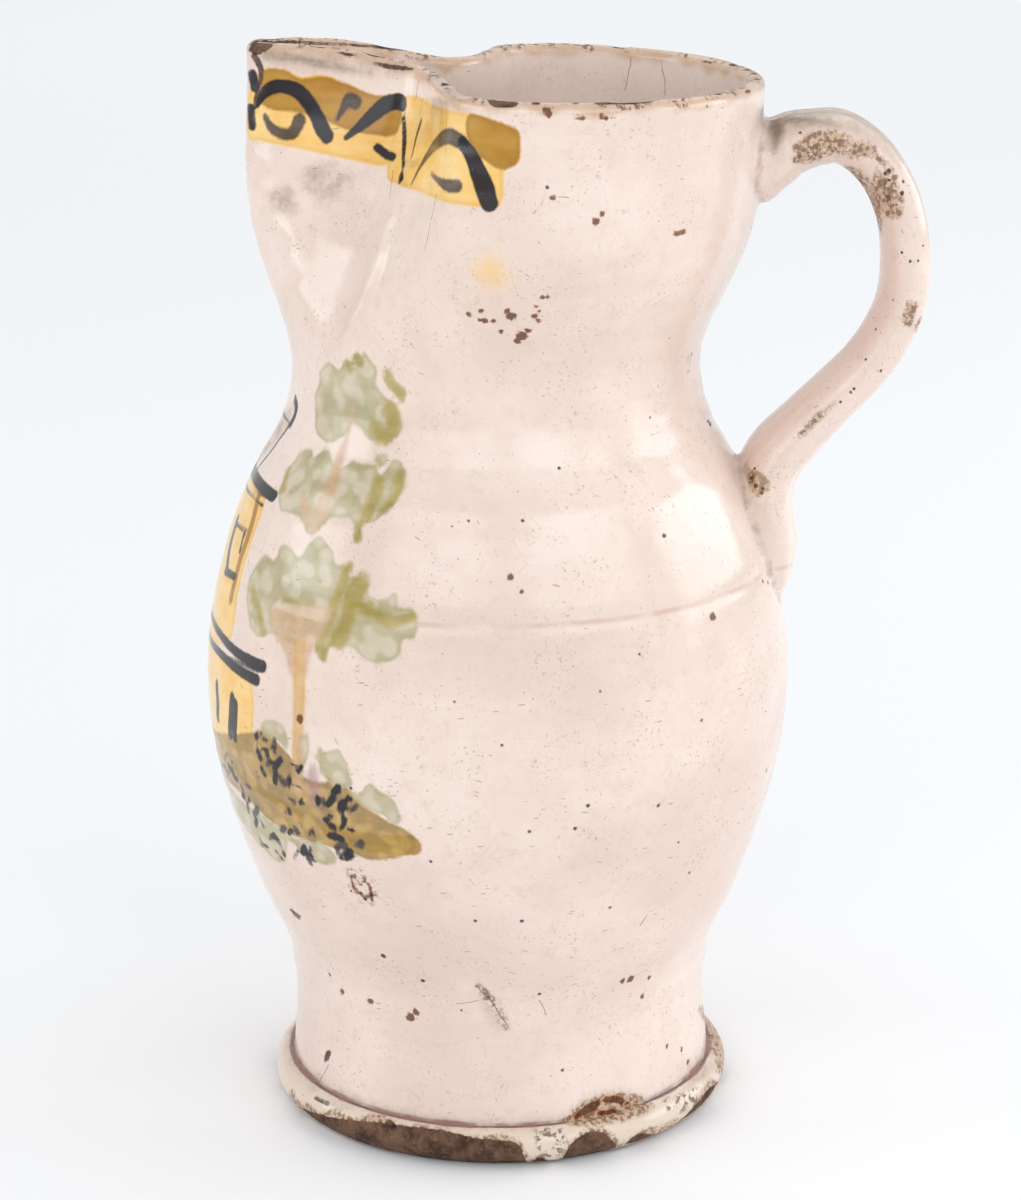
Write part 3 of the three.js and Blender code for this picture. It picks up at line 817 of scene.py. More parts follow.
# The tree: its leaves, darker strokes on them, and its trunk
TREE = [
    ("green", [
        (316, 388), (322, 370), (330, 365), (338, 366), (343, 361), (351, 362), (355, 353), (360, 356),
        (365, 350), (371, 360), (379, 370), (377, 386), (392, 402), (404, 415), (401, 433), (388, 441),
        (371, 443), (361, 430), (352, 426), (346, 436), (336, 444), (325, 441), (316, 432), (314, 410),
    ], None),
    ("green", [(385, 366), (396, 378), (405, 392), (403, 404), (394, 394), (385, 382)], None),
    ("green", [
        (278, 495), (283, 480), (291, 464), (305, 448), (314, 449), (312, 460), (320, 450), (329, 450),
        (334, 466), (344, 468), (352, 459), (364, 462), (377, 464), (381, 474), (390, 464), (401, 461),
        (405, 476), (402, 495), (390, 513), (372, 523), (362, 525), (362, 537), (355, 537), (353, 520),
        (335, 516), (322, 528), (308, 534), (298, 520), (290, 513), (280, 510),
    ], None),
    ("green", [(376, 454), (387, 457), (383, 467), (375, 464)], None),
    ("green", [
        (247, 600), (248, 580), (257, 563), (266, 555), (274, 558), (280, 545), (290, 548), (300, 556),
        (310, 541), (325, 540), (333, 550), (336, 561), (349, 565), (348, 578), (358, 573), (366, 584),
        (370, 596), (386, 598), (396, 594), (398, 606), (412, 608), (417, 628), (413, 641), (403, 640),
        (401, 655), (386, 663), (364, 660), (350, 646), (335, 648), (327, 650), (326, 661), (319, 659),
        (312, 640), (290, 645), (270, 632), (261, 638), (250, 624),
    ], None),
    ("olive", [(347, 570), (338, 592), (328, 622), (318, 645)], 1.4),
    ("olive", [(360, 582), (352, 600), (345, 625), (335, 640)], 2.2),
    ("olive", [(350, 600), (375, 615), (390, 622)], 1.6),
    ("olive", [(395, 622), (412, 615)], 1.0),
    ("olive", [(384, 372), (395, 388), (402, 396)], 1.0),
    ("olive", [(391, 408), (394, 425), (385, 436), (374, 430)], 1.8),
    ("olive", [(400, 475), (397, 495), (384, 510)], 1.3),
    ("olive", [(378, 480), (375, 500), (366, 514)], 1.4),
    ("olive", [(286, 472), (281, 490)], 0.9),
    ("olive", [(357, 355), (360, 362)], 1.0),
    ("olive", [(347, 362), (350, 368)], 0.8),
    ("olive", [(252, 590), (258, 612), (262, 632)], 1.0),
    ("olive", [(284, 600), (300, 606), (312, 604)], 0.9),
    ("olive", [(360, 525), (359, 536)], 0.9),
    ("olive", [(324, 648), (323, 658)], 0.9),
    ("tan", [
        (268, 614), (285, 606), (318, 604), (332, 610), (322, 634), (310, 656), (306, 676), (291, 676),
        (284, 652), (272, 634),
    ], None),
    ("tan", [
        (352, 408), (349, 430), (343, 448), (337, 466), (331, 488), (322, 508), (314, 526),
    ], [0.5, 0.7, 1.1, 1.5, 1.9, 2.3, 1.8]),
    ("tan", [(303, 494), (306, 512), (312, 526)], 1.3),
    ("yellow", [(299, 640), (299, 680), (298, 710), (297, 745), (296, 790)], [2.0, 1.9, 1.8, 1.6, 1.3]),
    ("tan", [(299, 640), (299, 680), (298, 710), (297, 745), (296, 790)], [2.0, 1.9, 1.8, 1.6, 1.3]),
]
# The bushes and the ground
GROUND = [
    ("green", [(260, 726), (268, 720), (279, 723), (288, 738), (289, 753), (277, 744), (262, 734)], None),
    ("green", [(317, 744), (326, 751), (337, 751), (345, 764), (352, 786), (336, 786), (322, 776)], None),
    ("green", [
        (354, 797), (363, 789), (371, 784), (379, 791), (393, 799), (400, 812), (399, 826), (380, 815),
        (362, 806),
    ], None),
    ("green", [(300, 735), (307, 734), (306, 760), (301, 778), (296, 765)], None),
    ("green", [
        (211, 770), (240, 798), (268, 820), (295, 838), (322, 846), (338, 858), (333, 866), (314, 863),
        (297, 851), (288, 842), (286, 852), (280, 864), (266, 852), (248, 830), (232, 808), (216, 788),
    ], None),
    ("earth", [
        (206, 744), (222, 733), (250, 732), (263, 731), (281, 746), (293, 762), (305, 778), (320, 783),
        (336, 779), (352, 793), (372, 812), (392, 824), (408, 832), (417, 841), (412, 852), (397, 859),
        (372, 861), (345, 851), (318, 845), (298, 838), (272, 822), (250, 802), (232, 784), (212, 772),
    ], None),
    ("ochre", [(330, 832), (370, 844), (410, 846)], 2.6),
    ("ochre", [(232, 764), (262, 792), (300, 816)], 1.3),
    ("ochre", [(262, 760), (290, 786), (318, 800)], 1.0),
    ("purple", [(306, 776), (313, 764), (318, 780), (322, 802), (312, 806), (304, 790)], None),
]
# The tower: roof, walls, cornices, window and slits
TOWER = [
    ("grime_and_shade", [
        (286, 408), (294, 404), (288, 424), (277, 438), (262, 456), (252, 470), (240, 470), (262, 440),
    ], None),
    ("navy", [(289, 424), (277, 441), (264, 459), (255, 470)], 0.5),
    ("navy", [(283, 412), (289, 424)], 0.4),
    ("navy", [(246, 484), (254, 497), (262, 506)], 0.5),
    ("navy", [(236, 520), (230, 545), (226, 570)], 1.5),
    ("navy", [(236, 522), (246, 531)], 0.6),
    ("navy", [(244, 530), (239, 552)], 0.6),
    ("navy", [(225, 570), (234, 577)], 1.0),
    ("navy", [(294, 398), (295, 410), (290, 424)], 1.0),
    ("navy", [(246, 462), (254, 474), (263, 487), (273, 496)], 1.5),
    ("yellow", [
        (244, 470), (256, 480), (265, 498), (256, 528), (246, 560), (238, 590), (230, 640), (198, 622),
        (200, 560),
    ], None),
    ("ochre", [(259, 492), (250, 528), (239, 562), (230, 600)], 1.3),
    ("navy", [(203, 606), (213, 620), (222, 636), (238, 654), (262, 667)], [0.9, 0.9, 1.1, 1.3, 1.5]),
    ("navy", [(200, 626), (211, 640), (220, 654), (238, 670), (256, 681)], [0.9, 0.9, 1.1, 1.3, 1.5]),
    ("yellow", [(198, 640), (228, 664), (251, 684), (251, 740), (240, 756), (206, 752), (200, 700)], None),
    ("navy", [(217, 684), (218, 702), (218, 718)], 1.3),
    ("navy", [(232, 697), (230, 735)], 1.3),
    ("navy", [(235, 704), (235, 738)], 1.3),
]
# The fold that runs down from the pinch, and the hollow pressed in beside it
SPOUT_FORM = [
    ("fold", [
        (403, 176), (398, 205), (388, 230), (381, 256), (370, 281), (360, 306), (350, 331), (342, 352),
    ], [0.6, 0.9, 1.1, 1.2, 1.2, 1.0, 0.8, 0.4]),
    ("hollow", [
        (300, 180), (350, 180), (376, 200), (372, 250), (358, 300), (336, 320), (312, 300), (300, 240),
    ], None),
]
BODY_WEAR_AND_SHADE = [
    ("grime_and_shade", [(300, 172), (330, 160), (352, 170), (345, 190), (318, 200), (300, 190)], None),
    ("grime_and_shade", [(270, 190), (290, 186), (296, 210), (276, 216)], None),
    ("grime_and_shade", [(430, 98), (440, 96), (438, 104), (430, 104)], None),
    ("grime_and_shade", [(475, 985), (487, 995), (502, 1012), (510, 1030), (500, 1026), (486, 1008)], None),
    ("grime_and_shade", [
        (560, 1122), (580, 1104), (600, 1092), (624, 1090), (652, 1102), (640, 1116), (600, 1124),
    ], None),
    ("worn", [
        (564, 1122), (580, 1107), (600, 1095), (626, 1094), (655, 1102), (636, 1116), (600, 1124),
    ], None),
    ("rust", [(576, 1117), (586, 1110), (597, 1104)], [0.4, 1.0, 0.8]),
    ("rust", [(604, 1099), (618, 1100), (628, 1104)], [0.7, 1.0, 0.4]),
    ("rust", [(598, 1114), (614, 1111)], [0.5, 0.6]),
    ("pitted", [(348, 870), (362, 872), (374, 890), (373, 904), (360, 898), (350, 888)], None),
    ("rust", [(351, 876), (352, 886), (360, 894)], [0.3, 0.4, 0.3]),
    ("rust", [(362, 878), (369, 888), (371, 900)], [0.3, 0.35, 0.4]),
    ("pitted", [(478, 988), (490, 1000), (508, 1028)], [0.7, 1.1, 0.8]),
    ("pitted", [(691, 352), (699, 350), (700, 366), (694, 380), (689, 372)], None),
    ("grime_and_shade", [(720, 306), (716, 322), (708, 338)], 1.2),
    # Painted shade and dirt along the crease beside the handle's lower joint
    ("umber", [(706, 420), (711, 425)], 0.35),
    ("grime_and_shade", [(704, 418), (722, 442), (738, 462), (752, 486), (762, 520)], 1.3),
    ("pitted", [(730, 448), (742, 462), (752, 480)], 0.8),
    ("umber", [(290, 910), (300, 918)], 0.45),
    ("umber", [(329, 1052), (326, 1060)], 0.6),
    ("rust", [(546, 110), (549, 115)], 0.8),
    ("rust", [(575, 116), (583, 118)], 0.5),
    ("rust", [(601, 116), (606, 118)], 0.6),
    ("rust", [(676, 234), (684, 232)], 0.5),
]
RIM_WEAR = [
    ("bare", [(249, 52), (251, 42), (262, 39), (273, 44), (266, 51), (256, 55)], None),
    ("grime_and_shade", [(258, 50), (300, 50), (350, 58), (410, 66), (404, 76), (340, 72), (262, 64)], None),
    ("umber", [(253, 55), (259, 64), (261, 74), (257, 90), (254, 105)], [0.7, 0.8, 0.6, 0.5, 0.4]),
    ("grime_and_shade", [
        (262, 46), (310, 50), (400, 62), (420, 76), (400, 96), (350, 90), (290, 84), (262, 78),
    ], None),
    ("soot_and_shade", [(264, 54), (296, 58), (330, 66), (372, 75)], [1.0, 0.9, 0.4, 0.1]),
    ("umber", [(372, 63), (386, 66), (400, 68), (413, 69)], [0.3, 0.5, 0.5, 0.3]),
    ("tan", [(380, 72), (470, 72), (475, 100), (440, 104), (400, 96), (376, 90)], None),
    ("grime_and_shade", [(447, 92), (458, 94), (464, 100), (452, 102)], None),
    ("bare", [(488, 97), (500, 94), (516, 98), (518, 105), (505, 108), (490, 105)], None),
    ("tan", [(642, 101), (655, 99), (662, 104), (655, 109), (644, 108)], None),
    ("umber", [(742, 72), (750, 64), (757, 66), (759, 76), (751, 82), (744, 79)], None),
    ("umber", [(534, 103), (538, 103)], 0.5),
    ("umber", [(573, 102), (578, 102)], 0.5),
    ("umber", [(596, 103), (636, 102)], 0.45),
]
FAR_RIM_WEAR = [
    ("umber", [
        (258, 42), (290, 42), (330, 44), (368, 46), (400, 49), (432, 51),
    ], [0.4, 0.35, 0.4, 0.3, 0.35, 0.25]),
    ("bare", [(290, 43), (312, 44)], 0.25),
    ("umber", [(722, 50), (728, 55)], 0.9),
    ("umber", [(545, 38), (560, 38)], 0.5),
    ("tan", [(440, 52), (455, 60), (450, 74), (440, 70)], None),
]
HANDLE_WEAR_AND_SHADE = [
    # Painted shade and dirt in the crease where the strap's top meets the neck, fading along its groove
    ("grime_and_shade", [(764, 116), (780, 112), (806, 112), (800, 126), (786, 140), (776, 156), (766, 146)], None),
    ("soot_and_shade", [(767, 112), (773, 120), (776, 132), (773, 146)], [1.6, 2.6, 2.2, 0.8]),
    ("soot_and_shade", [(772, 122), (790, 119), (815, 121), (840, 127)], [1.6, 1.2, 0.6, 0.0]),
    ("worn", [(793, 161), (806, 157), (818, 152), (832, 149)], [0.5, 1.2, 1.4, 0.9]),
    ("worn", [
        (792, 150), (808, 136), (830, 130), (852, 138), (874, 150), (858, 158), (832, 152), (806, 156),
    ], None),
    ("pitted", [(796, 159), (808, 155), (820, 151), (830, 149)], [0.4, 0.8, 0.8, 0.4]),
    ("worn", [
        (842, 168), (854, 168), (868, 180), (877, 194), (881, 208), (882, 226), (878, 238), (868, 222),
        (858, 202), (848, 186),
    ], None),
    ("pitted", [(850, 174), (862, 186), (870, 204), (875, 224)], [0.3, 0.8, 0.7, 0.3]),
    ("worn", [(876, 170), (888, 176), (902, 200), (900, 218), (884, 214), (873, 192)], None),
    ("pitted", [(880, 180), (886, 190), (888, 202)], [0.4, 0.7, 0.4]),
    ("worn", [(907, 303), (916, 303), (914, 314), (911, 325), (903, 324), (905, 312)], None),
    ("pitted", [(911, 308), (908, 320)], 0.6),
    ("worn", [(921, 320), (918, 330)], 0.6),
    ("worn", [(858, 143), (870, 146), (878, 158), (890, 168), (896, 182)], 0.6),
    ("ore", [(747, 474), (754, 469), (766, 477), (770, 490), (762, 492), (759, 499), (750, 488)], None),
    ("worn", [(800, 436), (814, 421), (834, 403)], [0.5, 0.8, 0.4]),
    # Painted shade and dirt in the crease by the handle's lower joint
    ("soot_and_shade", [(738, 456), (746, 470), (752, 486)], [0.8, 0.6, 0.3]),
]
FOOT_WEAR = [
    ("bare", [
        (272, 1082), (284, 1096), (300, 1107), (330, 1117), (380, 1122), (420, 1127), (446, 1131),
        (470, 1137), (500, 1139), (518, 1144), (523, 1152), (526, 1168), (480, 1176), (400, 1172),
        (320, 1150), (270, 1110),
    ], None),
    ("bare", [
        (556, 1172), (563, 1158), (572, 1143), (588, 1132), (602, 1132), (613, 1141), (618, 1150),
        (606, 1172),
    ], None),
    ("bare", [
        (622, 1160), (626, 1144), (640, 1134), (656, 1135), (680, 1121), (700, 1100), (712, 1086),
        (730, 1080), (724, 1110), (680, 1160),
    ], None),
    ("bare", [(528, 1170), (534, 1160), (542, 1158), (548, 1164), (546, 1172)], None),
    ("pitted", [(536, 1130), (560, 1128), (566, 1146), (556, 1160), (540, 1152)], None),
    ("pitted", [(664, 1102), (684, 1094), (698, 1088), (694, 1106), (672, 1112)], None),
    ("grime_and_shade", [(690, 1062), (708, 1052), (714, 1066), (700, 1084), (680, 1086)], None),
    ("grime_and_shade", [(264, 1036), (282, 1002), (292, 1004), (276, 1034), (268, 1050)], None),
    ("bare", [(270, 1028), (284, 1004), (288, 1008), (276, 1034)], None),
    ("worn", [(700, 1008), (710, 1024), (718, 1044), (722, 1070)], [0.5, 1.0, 1.4, 1.2]),
    ("umber", [(388, 1122), (393, 1126)], 0.8),
    ("umber", [(316, 1098), (328, 1104)], 0.5),
]
YELLOW_STAIN = [
    (480, 255), (492, 250), (505, 262), (512, 276), (502, 288), (486, 290), (474, 280), (472, 266),
]

# The places round which the ground is dabbed
DAB_PLACES = [
    (263, 738), (274, 746), (259, 755), (269, 760), (277, 764), (263, 772), (275, 778), (289, 781),
    (293, 766), (296, 786), (291, 799), (316, 798), (337, 790), (330, 802), (349, 799), (351, 811),
    (338, 807), (327, 818), (343, 822), (349, 830), (338, 838), (345, 846), (361, 845), (337, 853),
    (343, 858), (355, 859), (296, 854), (309, 861), (300, 826), (309, 832), (290, 832), (272, 836),
    (256, 812), (262, 824), (264, 846), (279, 856), (222, 746), (226, 756), (231, 768), (236, 778),
    (242, 788), (249, 800), (310, 850), (301, 803), (285, 812),
]

# Small round spots as (pixel across, pixel down, radius in millimetres)
DOTS = {
    "umber": [
        (663, 538, 0.55), (525, 519, 0.35), (523, 921, 0.5), (765, 770, 0.5), (383, 957, 0.7),
        (424, 981, 0.55), (587, 806, 0.45), (656, 803, 0.45), (575, 826, 0.4), (527, 832, 0.4),
        (549, 186, 0.4), (706, 108, 0.4), (475, 924, 0.4), (538, 994, 0.4), (563, 1067, 0.4),
        (761, 580, 0.5), (767, 583, 0.45), (350, 790, 0.4), (452, 700, 0.35), (600, 690, 0.35),
        (500, 745, 0.4), (700, 720, 0.4), (640, 655, 0.35), (430, 860, 0.4), (690, 870, 0.4),
        (610, 905, 0.35), (560, 470, 0.35), (650, 420, 0.35), (470, 520, 0.35), (380, 250, 0.35),
    ],
    "rust": [
        (710, 617, 0.9), (512, 575, 0.7), (519, 590, 0.4), (470, 313, 0.6), (486, 320, 0.7),
        (511, 316, 1.1), (521, 336, 1.3), (533, 313, 0.7), (543, 298, 0.6), (629, 978, 1.0),
        (623, 979, 0.8), (342, 992, 0.7), (371, 1003, 0.8), (409, 1016, 1.1), (414, 1013, 0.8),
        (650, 978, 0.5), (643, 996, 0.6), (300, 720, 1.0), (328, 976, 0.5), (480, 310, 0.5),
        (500, 330, 0.6), (551, 199, 0.4), (594, 219, 0.7), (600, 214, 0.5), (683, 1050, 0.6),
        (688, 1062, 0.6), (666, 1047, 0.5), (538, 318, 0.5), (547, 296, 0.4), (536, 306, 0.35),
        (542, 312, 0.3), (492, 318, 0.45), (479, 318, 0.4), (518, 342, 0.8), (505, 312, 0.6),
        (526, 331, 0.7),
    ],
    "bare": [
        (842, 400, 0.35), (850, 392, 0.35), (857, 389, 0.4), (871, 397, 0.4), (880, 373, 0.35),
        (902, 193, 0.6), (884, 175, 0.4), (889, 168, 0.5), (922, 245, 0.35), (901, 253, 0.35),
        (912, 262, 0.35), (917, 262, 0.3), (891, 181, 0.35), (896, 204, 0.35), (799, 134, 0.4),
        (905, 182, 0.4), (874, 330, 0.3), (893, 300, 0.3), (865, 360, 0.3), (842, 430, 0.3),
        (820, 470, 0.3), (795, 500, 0.3), (751, 476, 0.4), (757, 484, 0.6), (764, 487, 0.4),
        (760, 492, 0.4), (366, 901, 0.5), (352, 893, 0.35), (754, 470, 0.4), (748, 484, 0.35),
    ],
}
# Hairline cracks and scratches as (from pixel, to pixel, half width in millimetres, on the inside)
HAIRLINES = [
    ((437, 195), (431, 222), 0.11, False), ((431, 222), (425, 252), 0.09, False),
    ((447, 100), (447, 160), 0.09, False), ((417, 80), (416, 102), 0.11, False),
    ((393, 168), (389, 200), 0.09, False), ((622, 96), (630, 52), 0.12, True),
    ((665, 95), (665, 52), 0.12, True), ((475, 988), (490, 1002), 0.14, False),
    ((488, 998), (509, 1028), 0.16, False), ((456, 1004), (478, 1002), 0.1, False),
    ((329, 1064), (318, 1084), 0.12, False), ((538, 1000), (548, 1014), 0.1, False),
    ((556, 198), (572, 196), 0.1, False), ((645, 914), (640, 926), 0.14, False),
]

# The dabs on the ground: how many to a place, how far each leans and reaches in pixels, its half
# width in millimetres, how far off the next may lie in pixels, and the share of dark ones
DAB_SEED = 5
DABS_TO_A_PLACE = 2
DAB_LEAN = (-3, 4)
DAB_LENGTH = (1, 4.5)
DAB_WIDTH = (0.4, 1.0)
DAB_STRAY = (8, 6)
DARK_DABS = 0.65


def paint_picture(skin):
    for field, pixels, widths in BAND + TREE + GROUND + TOWER:
        paint_wall(skin, field, pixels, widths)
    for field, pixels, widths in NOSE_DABS:
        mark_seen(skin, field, pixels, widths)
    rng = np.random.default_rng(DAB_SEED)
    for x, y in DAB_PLACES:
        for _ in range(DABS_TO_A_PLACE):
            lean, length = rng.uniform(*DAB_LEAN), rng.uniform(*DAB_LENGTH)
            field = "navy" if rng.random() < DARK_DABS else "slate"
            ends = [(x - lean, y - length), (x + lean, y + length)]
            paint_wall(skin, field, ends, rng.uniform(*DAB_WIDTH))
            x, y = (at + rng.uniform(-stray, stray) for at, stray in zip((x, y), DAB_STRAY))


# How the waves that wear runs in begin, go on and vary: the fewest round the jug, the step to the
# next, and the faintest out of 1
FEWEST_WAVES = 2
WAVE_STEP = 3
FAINTEST_WAVE = 0.3


def waves(angle, seed, count=14):
    """An uneven value round the jug that runs on across the join, about -1 to 1."""
    rng = np.random.default_rng(seed)
    total = 0
    for turns in range(FEWEST_WAVES, FEWEST_WAVES + WAVE_STEP * count, WAVE_STEP):
        strength, start = rng.uniform(FAINTEST_WAVE, 1), rng.uniform(0, 2 * math.pi)
        total = total + strength * np.sin(turns * angle + start)
    return total / math.sqrt(count)


# Glaze gone from the lip, in millimetres: (field, seed, reach, how far that waves, how far below
# the lip the middle lies)
LIP_BAND = 8
LIP_WEAR = [
    ("tan", 1, 2.2, 0.9, 0),
    ("bare", 2, -0.35, 0.8, 0),
    ("umber", 3, -0.45, 0.7, 0.9),
    ("pitted", 4, 0.2, 1.2, 0),
]

# The corner of the step above the foot, and the dirt in it: seed, reach and how far that waves
STEP_BAND = 8
STEP_CORNER_RADIUS = FOOT_STEP_RADIUS + 0.6
STEP_CORNER_HEIGHT = FOOT_HEIGHT + 0.2
STEP_SEED = 7
STEP_DIRT = 0.9
STEP_DIRT_WAVE = 0.8

# Bare clay above the sole: how high it reaches in front and at the back, how far that waves, and
# where the back starts and is full by the sine of the angle. Then the same all round the sole.
BARE_FRONT = -4.0
BARE_BACK = 3.0
BARE_BACK_WAVE = 2.4
BARE_BACK_WAVES = (8, 5)
BACK_FADE = (-0.35, 0.1)
SOLE_EDGE = 0.5
SOLE_EDGE_WAVE = 0.6
SOLE_EDGE_WAVES = (9, 7)
SOLE_BARE = 3.0

# How far worn glaze reaches past the foot's bare clay, how far that waves, and how far back the
# foot's marks go
WORN_SEED = 10
WORN_REACH = 0.8
WORN_WAVE = 1.1
FOOT_MARK_DEPTH = FOOT_RADIUS * 1.3

# Painted shade over the strap's upper face, darkest in its groove, and dirt in the groove by the
# upper joint: (field, depth, the cosine of the turn at which it starts, how fast it fades down the
# strap, and from what share of the way)
GROOVE_SHADE_AND_DIRT = [("grime_and_shade", 5, 0.3, 14, 0.22), ("umber", 2.2, 0.15, 30, 0)]


def wear_rim(skin):
    """Glaze gone from the lip, more in some places than in others."""
    below = RIM_HEIGHT - skin.height
    lip = np.nonzero((skin.part <= INSIDE) & (below < LIP_BAND))[0]
    for field, seed, reach, wave, middle in LIP_WEAR:
        edge = reach + wave * waves(skin.angle[lip], seed)
        skin.mark(field, lip, edge - np.abs(below[lip] - middle))


def wear_foot(skin):
    """Dirt in the step above the foot, and bare clay where the glaze stopped short."""
    radius = np.hypot(skin.points[:, 0], skin.points[:, 1])
    height = skin.points[:, 2]
    low = np.nonzero((skin.part == OUTSIDE) & (height < FOOT_HEIGHT + STEP_BAND))[0]
    angle = skin.angle[low]
    from_corner = np.hypot(radius[low] - STEP_CORNER_RADIUS, height[low] - STEP_CORNER_HEIGHT)
    skin.mark("grime_and_shade", low, STEP_DIRT + STEP_DIRT_WAVE * waves(angle, STEP_SEED) - from_corner)
    back = smoothstep(np.sin(angle), *BACK_FADE)
    bare = lerp(BARE_FRONT, BARE_BACK, back) + BARE_BACK_WAVE * waves(angle, *BARE_BACK_WAVES) * back
    skin.mark("bare", low, bare - height[low])
    skin.mark("bare", low, SOLE_EDGE + SOLE_EDGE_WAVE * waves(angle, *SOLE_EDGE_WAVES) - height[low])
    skin.mark("bare", np.nonzero(skin.part == SOLE)[0], SOLE_BARE)


def handle_shade_and_dirt(skin):
    """Painted shade over the handle's upper face, with dirt in its groove, fading towards the grip."""
    on_handle = np.nonzero(skin.part == HANDLE)[0]
    share, turn = skin.height[on_handle], skin.angle[on_handle]
    for field, depth, start, fading, fades_from in GROOVE_SHADE_AND_DIRT:
        faded = fading * np.maximum(share - fades_from, 0)
        skin.mark(field, on_handle, depth * (np.cos(turn) - start) - faded)


# Wear, dirt and stains, with painted shade on the handle's upper face and in the creases at its joints
def add_wear_and_shade(skin):
    wear_rim(skin)
    wear_foot(skin)
    handle_shade_and_dirt(skin)
    for name, pixels, widths in BODY_WEAR_AND_SHADE + RIM_WEAR + HANDLE_WEAR_AND_SHADE:
        mark_seen(skin, name, pixels, widths)
    for name, pixels, widths in FOOT_WEAR:
        mark_seen(skin, name, pixels, widths, depth=FOOT_MARK_DEPTH)
    low = np.nonzero((skin.part == OUTSIDE) & (skin.height < FOOT_HEIGHT))[0]
    past_bare = WORN_REACH + WORN_WAVE * waves(skin.angle[low], WORN_SEED)
    skin.mark("worn", low, skin.fields["bare"][low] + past_bare)
    for name, pixels, widths in FAR_RIM_WEAR:
        mark_seen(skin, name, pixels, widths, far_side=True)
    mark_seen(skin, "yellow", YELLOW_STAIN, faint=0.07, sunk=0.16)


def small_spots(skin):
    """Each round spot on the surface as its centre and radius, under the name of its kind."""
    return {
        name: [(skin.points[skin.seen_point((x, y))], radius) for x, y, radius in dots]
        for name, dots in DOTS.items()
    }


def hairlines(skin):
    """Each hairline as its start, its run, the way across it and its half width."""
    found = []
    for first, last, width, inside in HAIRLINES:
        part = INSIDE if inside else OUTSIDE
        start, end = skin.seen_point(first, part), skin.seen_point(last, part)
        run = skin.points[end] - skin.points[start]
        across = np.cross(run, skin.normals[start])
        found.append((skin.points[start], run, across / np.linalg.norm(across), width))
    return found


def relief(skin):
    """How far the real surface stands proud of the plain form, in millimetres."""
    angle, height = skin.angle, skin.height
    lift = sum(
        size * np.sin(turns * angle + height / radian + start)
        for size, turns, radian, start in WOBBLES
    )
    uneven, turns, radian = THROWING_UNEVEN
    thrown = np.sin(2 * math.pi * height / THROWING_PITCH + angle)
    lift += THROWING_RELIEF * thrown * (1 + uneven * np.sin(angle * turns + height / radian))
    for ring, half_width, proud in RINGS:
        lift += proud * np.exp(-(((height - ring) / half_width) ** 2))
    above_foot = smoothstep(height, FOOT_HEIGHT + 1, ANKLE_HEIGHT)
    below_rim = 1 - smoothstep(height, NECK_HEIGHT, RIM_HEIGHT)
    wall = (skin.part == OUTSIDE) & (height > FOOT_HEIGHT)
    lift = np.where(wall, lift * (above_foot * below_rim), 0)
    ribbed = smoothstep(np.cos(angle), *RIBBED_FACE) * smoothstep(height, *RIBS_START)
    ribs = STRAP_RIDGE * ribbed * (1 - smoothstep(height, *RIBS_END)) * np.cos(STRAP_RIDGES * angle)
    lift += np.where(skin.part == HANDLE, ribs, 0)
    lift += FOLD_RIDGE * smoothstep(skin.fields["fold"], *FOLD_FADE)
    lift -= HOLLOW_DEPTH * smoothstep(skin.fields["hollow"], *HOLLOW_FADE)
    chipped = np.maximum(skin.fields["bare"], skin.fields["rust"] - RUST_SET_BACK)
    return lift - np.where(skin.part == SOLE, 0, CHIP_DEPTH * smoothstep(chipped, *CHIP_FADE))


def soften_seam(mesh, on_handle):
    """Rounds the corner where the handle was luted on and smoothed down with a wet finger."""
    points = read_points(mesh) / UNIT
    edges = np.empty(len(mesh.edges) * 2, int)
    mesh.edges.foreach_get("vertices", edges)
    edges = edges.reshape(-1, 2)
    crossing = edges[on_handle[edges[:, 0]] != on_handle[edges[:, 1]]]
    seam = points[np.unique(crossing)]
    tree = kdtree.KDTree(len(seam))
    for i, point in enumerate(seam):
        tree.insert(point, i)
    tree.balance()
    gap = np.array([tree.find(point)[2] for point in points])
    outside = np.hypot(points[:, 0], points[:, 1]) > thrown_radius(points[:, 2]) - WALL / 2
    upper = points[:, 2] > HANDLE_GRIP_HEIGHT - HANDLE_TAIL_LENGTH
    reach = np.where(upper, UPPER_LUTING_REACH, LUTING_REACH)
    strength = np.where(upper, UPPER_LUTING, LUTING)
    faded = 1 - smoothstep(gap / reach, LUTING_FADE_START, 1)
    weight = np.where(outside, strength * faded, 0)[:, None]
    # Dirt and painted shade along the seam, darkest at it and fading within a few millimetres
    along = np.arctan2(points[:, 1], points[:, 0]) * SEAM_TURNS + points[:, 2] / SEAM_PITCH
    dirt_and_shade = SEAM_DIRT_AND_SHADE + SEAM_DIRT_AND_SHADE * waves(along, SEAM_SEED) - gap
    seam_values = np.where(outside, dirt_and_shade, FAR_OUTSIDE).astype(np.float32)
    mesh.attributes["seam"].data.foreach_set("value", seam_values)
    edges = edges[(weight[edges[:, 0], 0] > 0) | (weight[edges[:, 1], 0] > 0)]
    count = np.maximum(np.bincount(edges.ravel(), minlength=len(points)), 1)[:, None]
    for _ in range(LUTING_STEPS):
        total = np.zeros_like(points)
        np.add.at(total, edges[:, 0], points[edges[:, 1]])
        np.add.at(total, edges[:, 1], points[edges[:, 0]])
        points += weight * (total / count - points)
    mesh.vertices.foreach_set("co", (points * UNIT).ravel())
    mesh.update()


# Painted highlights and shade as paler and darker streaks along the strap: seed and waves round it,
# and how they vary along it
STREAK_WAVES = (21, 5)
STREAK_VARIES = 0.3
STREAK_TURNS = 9


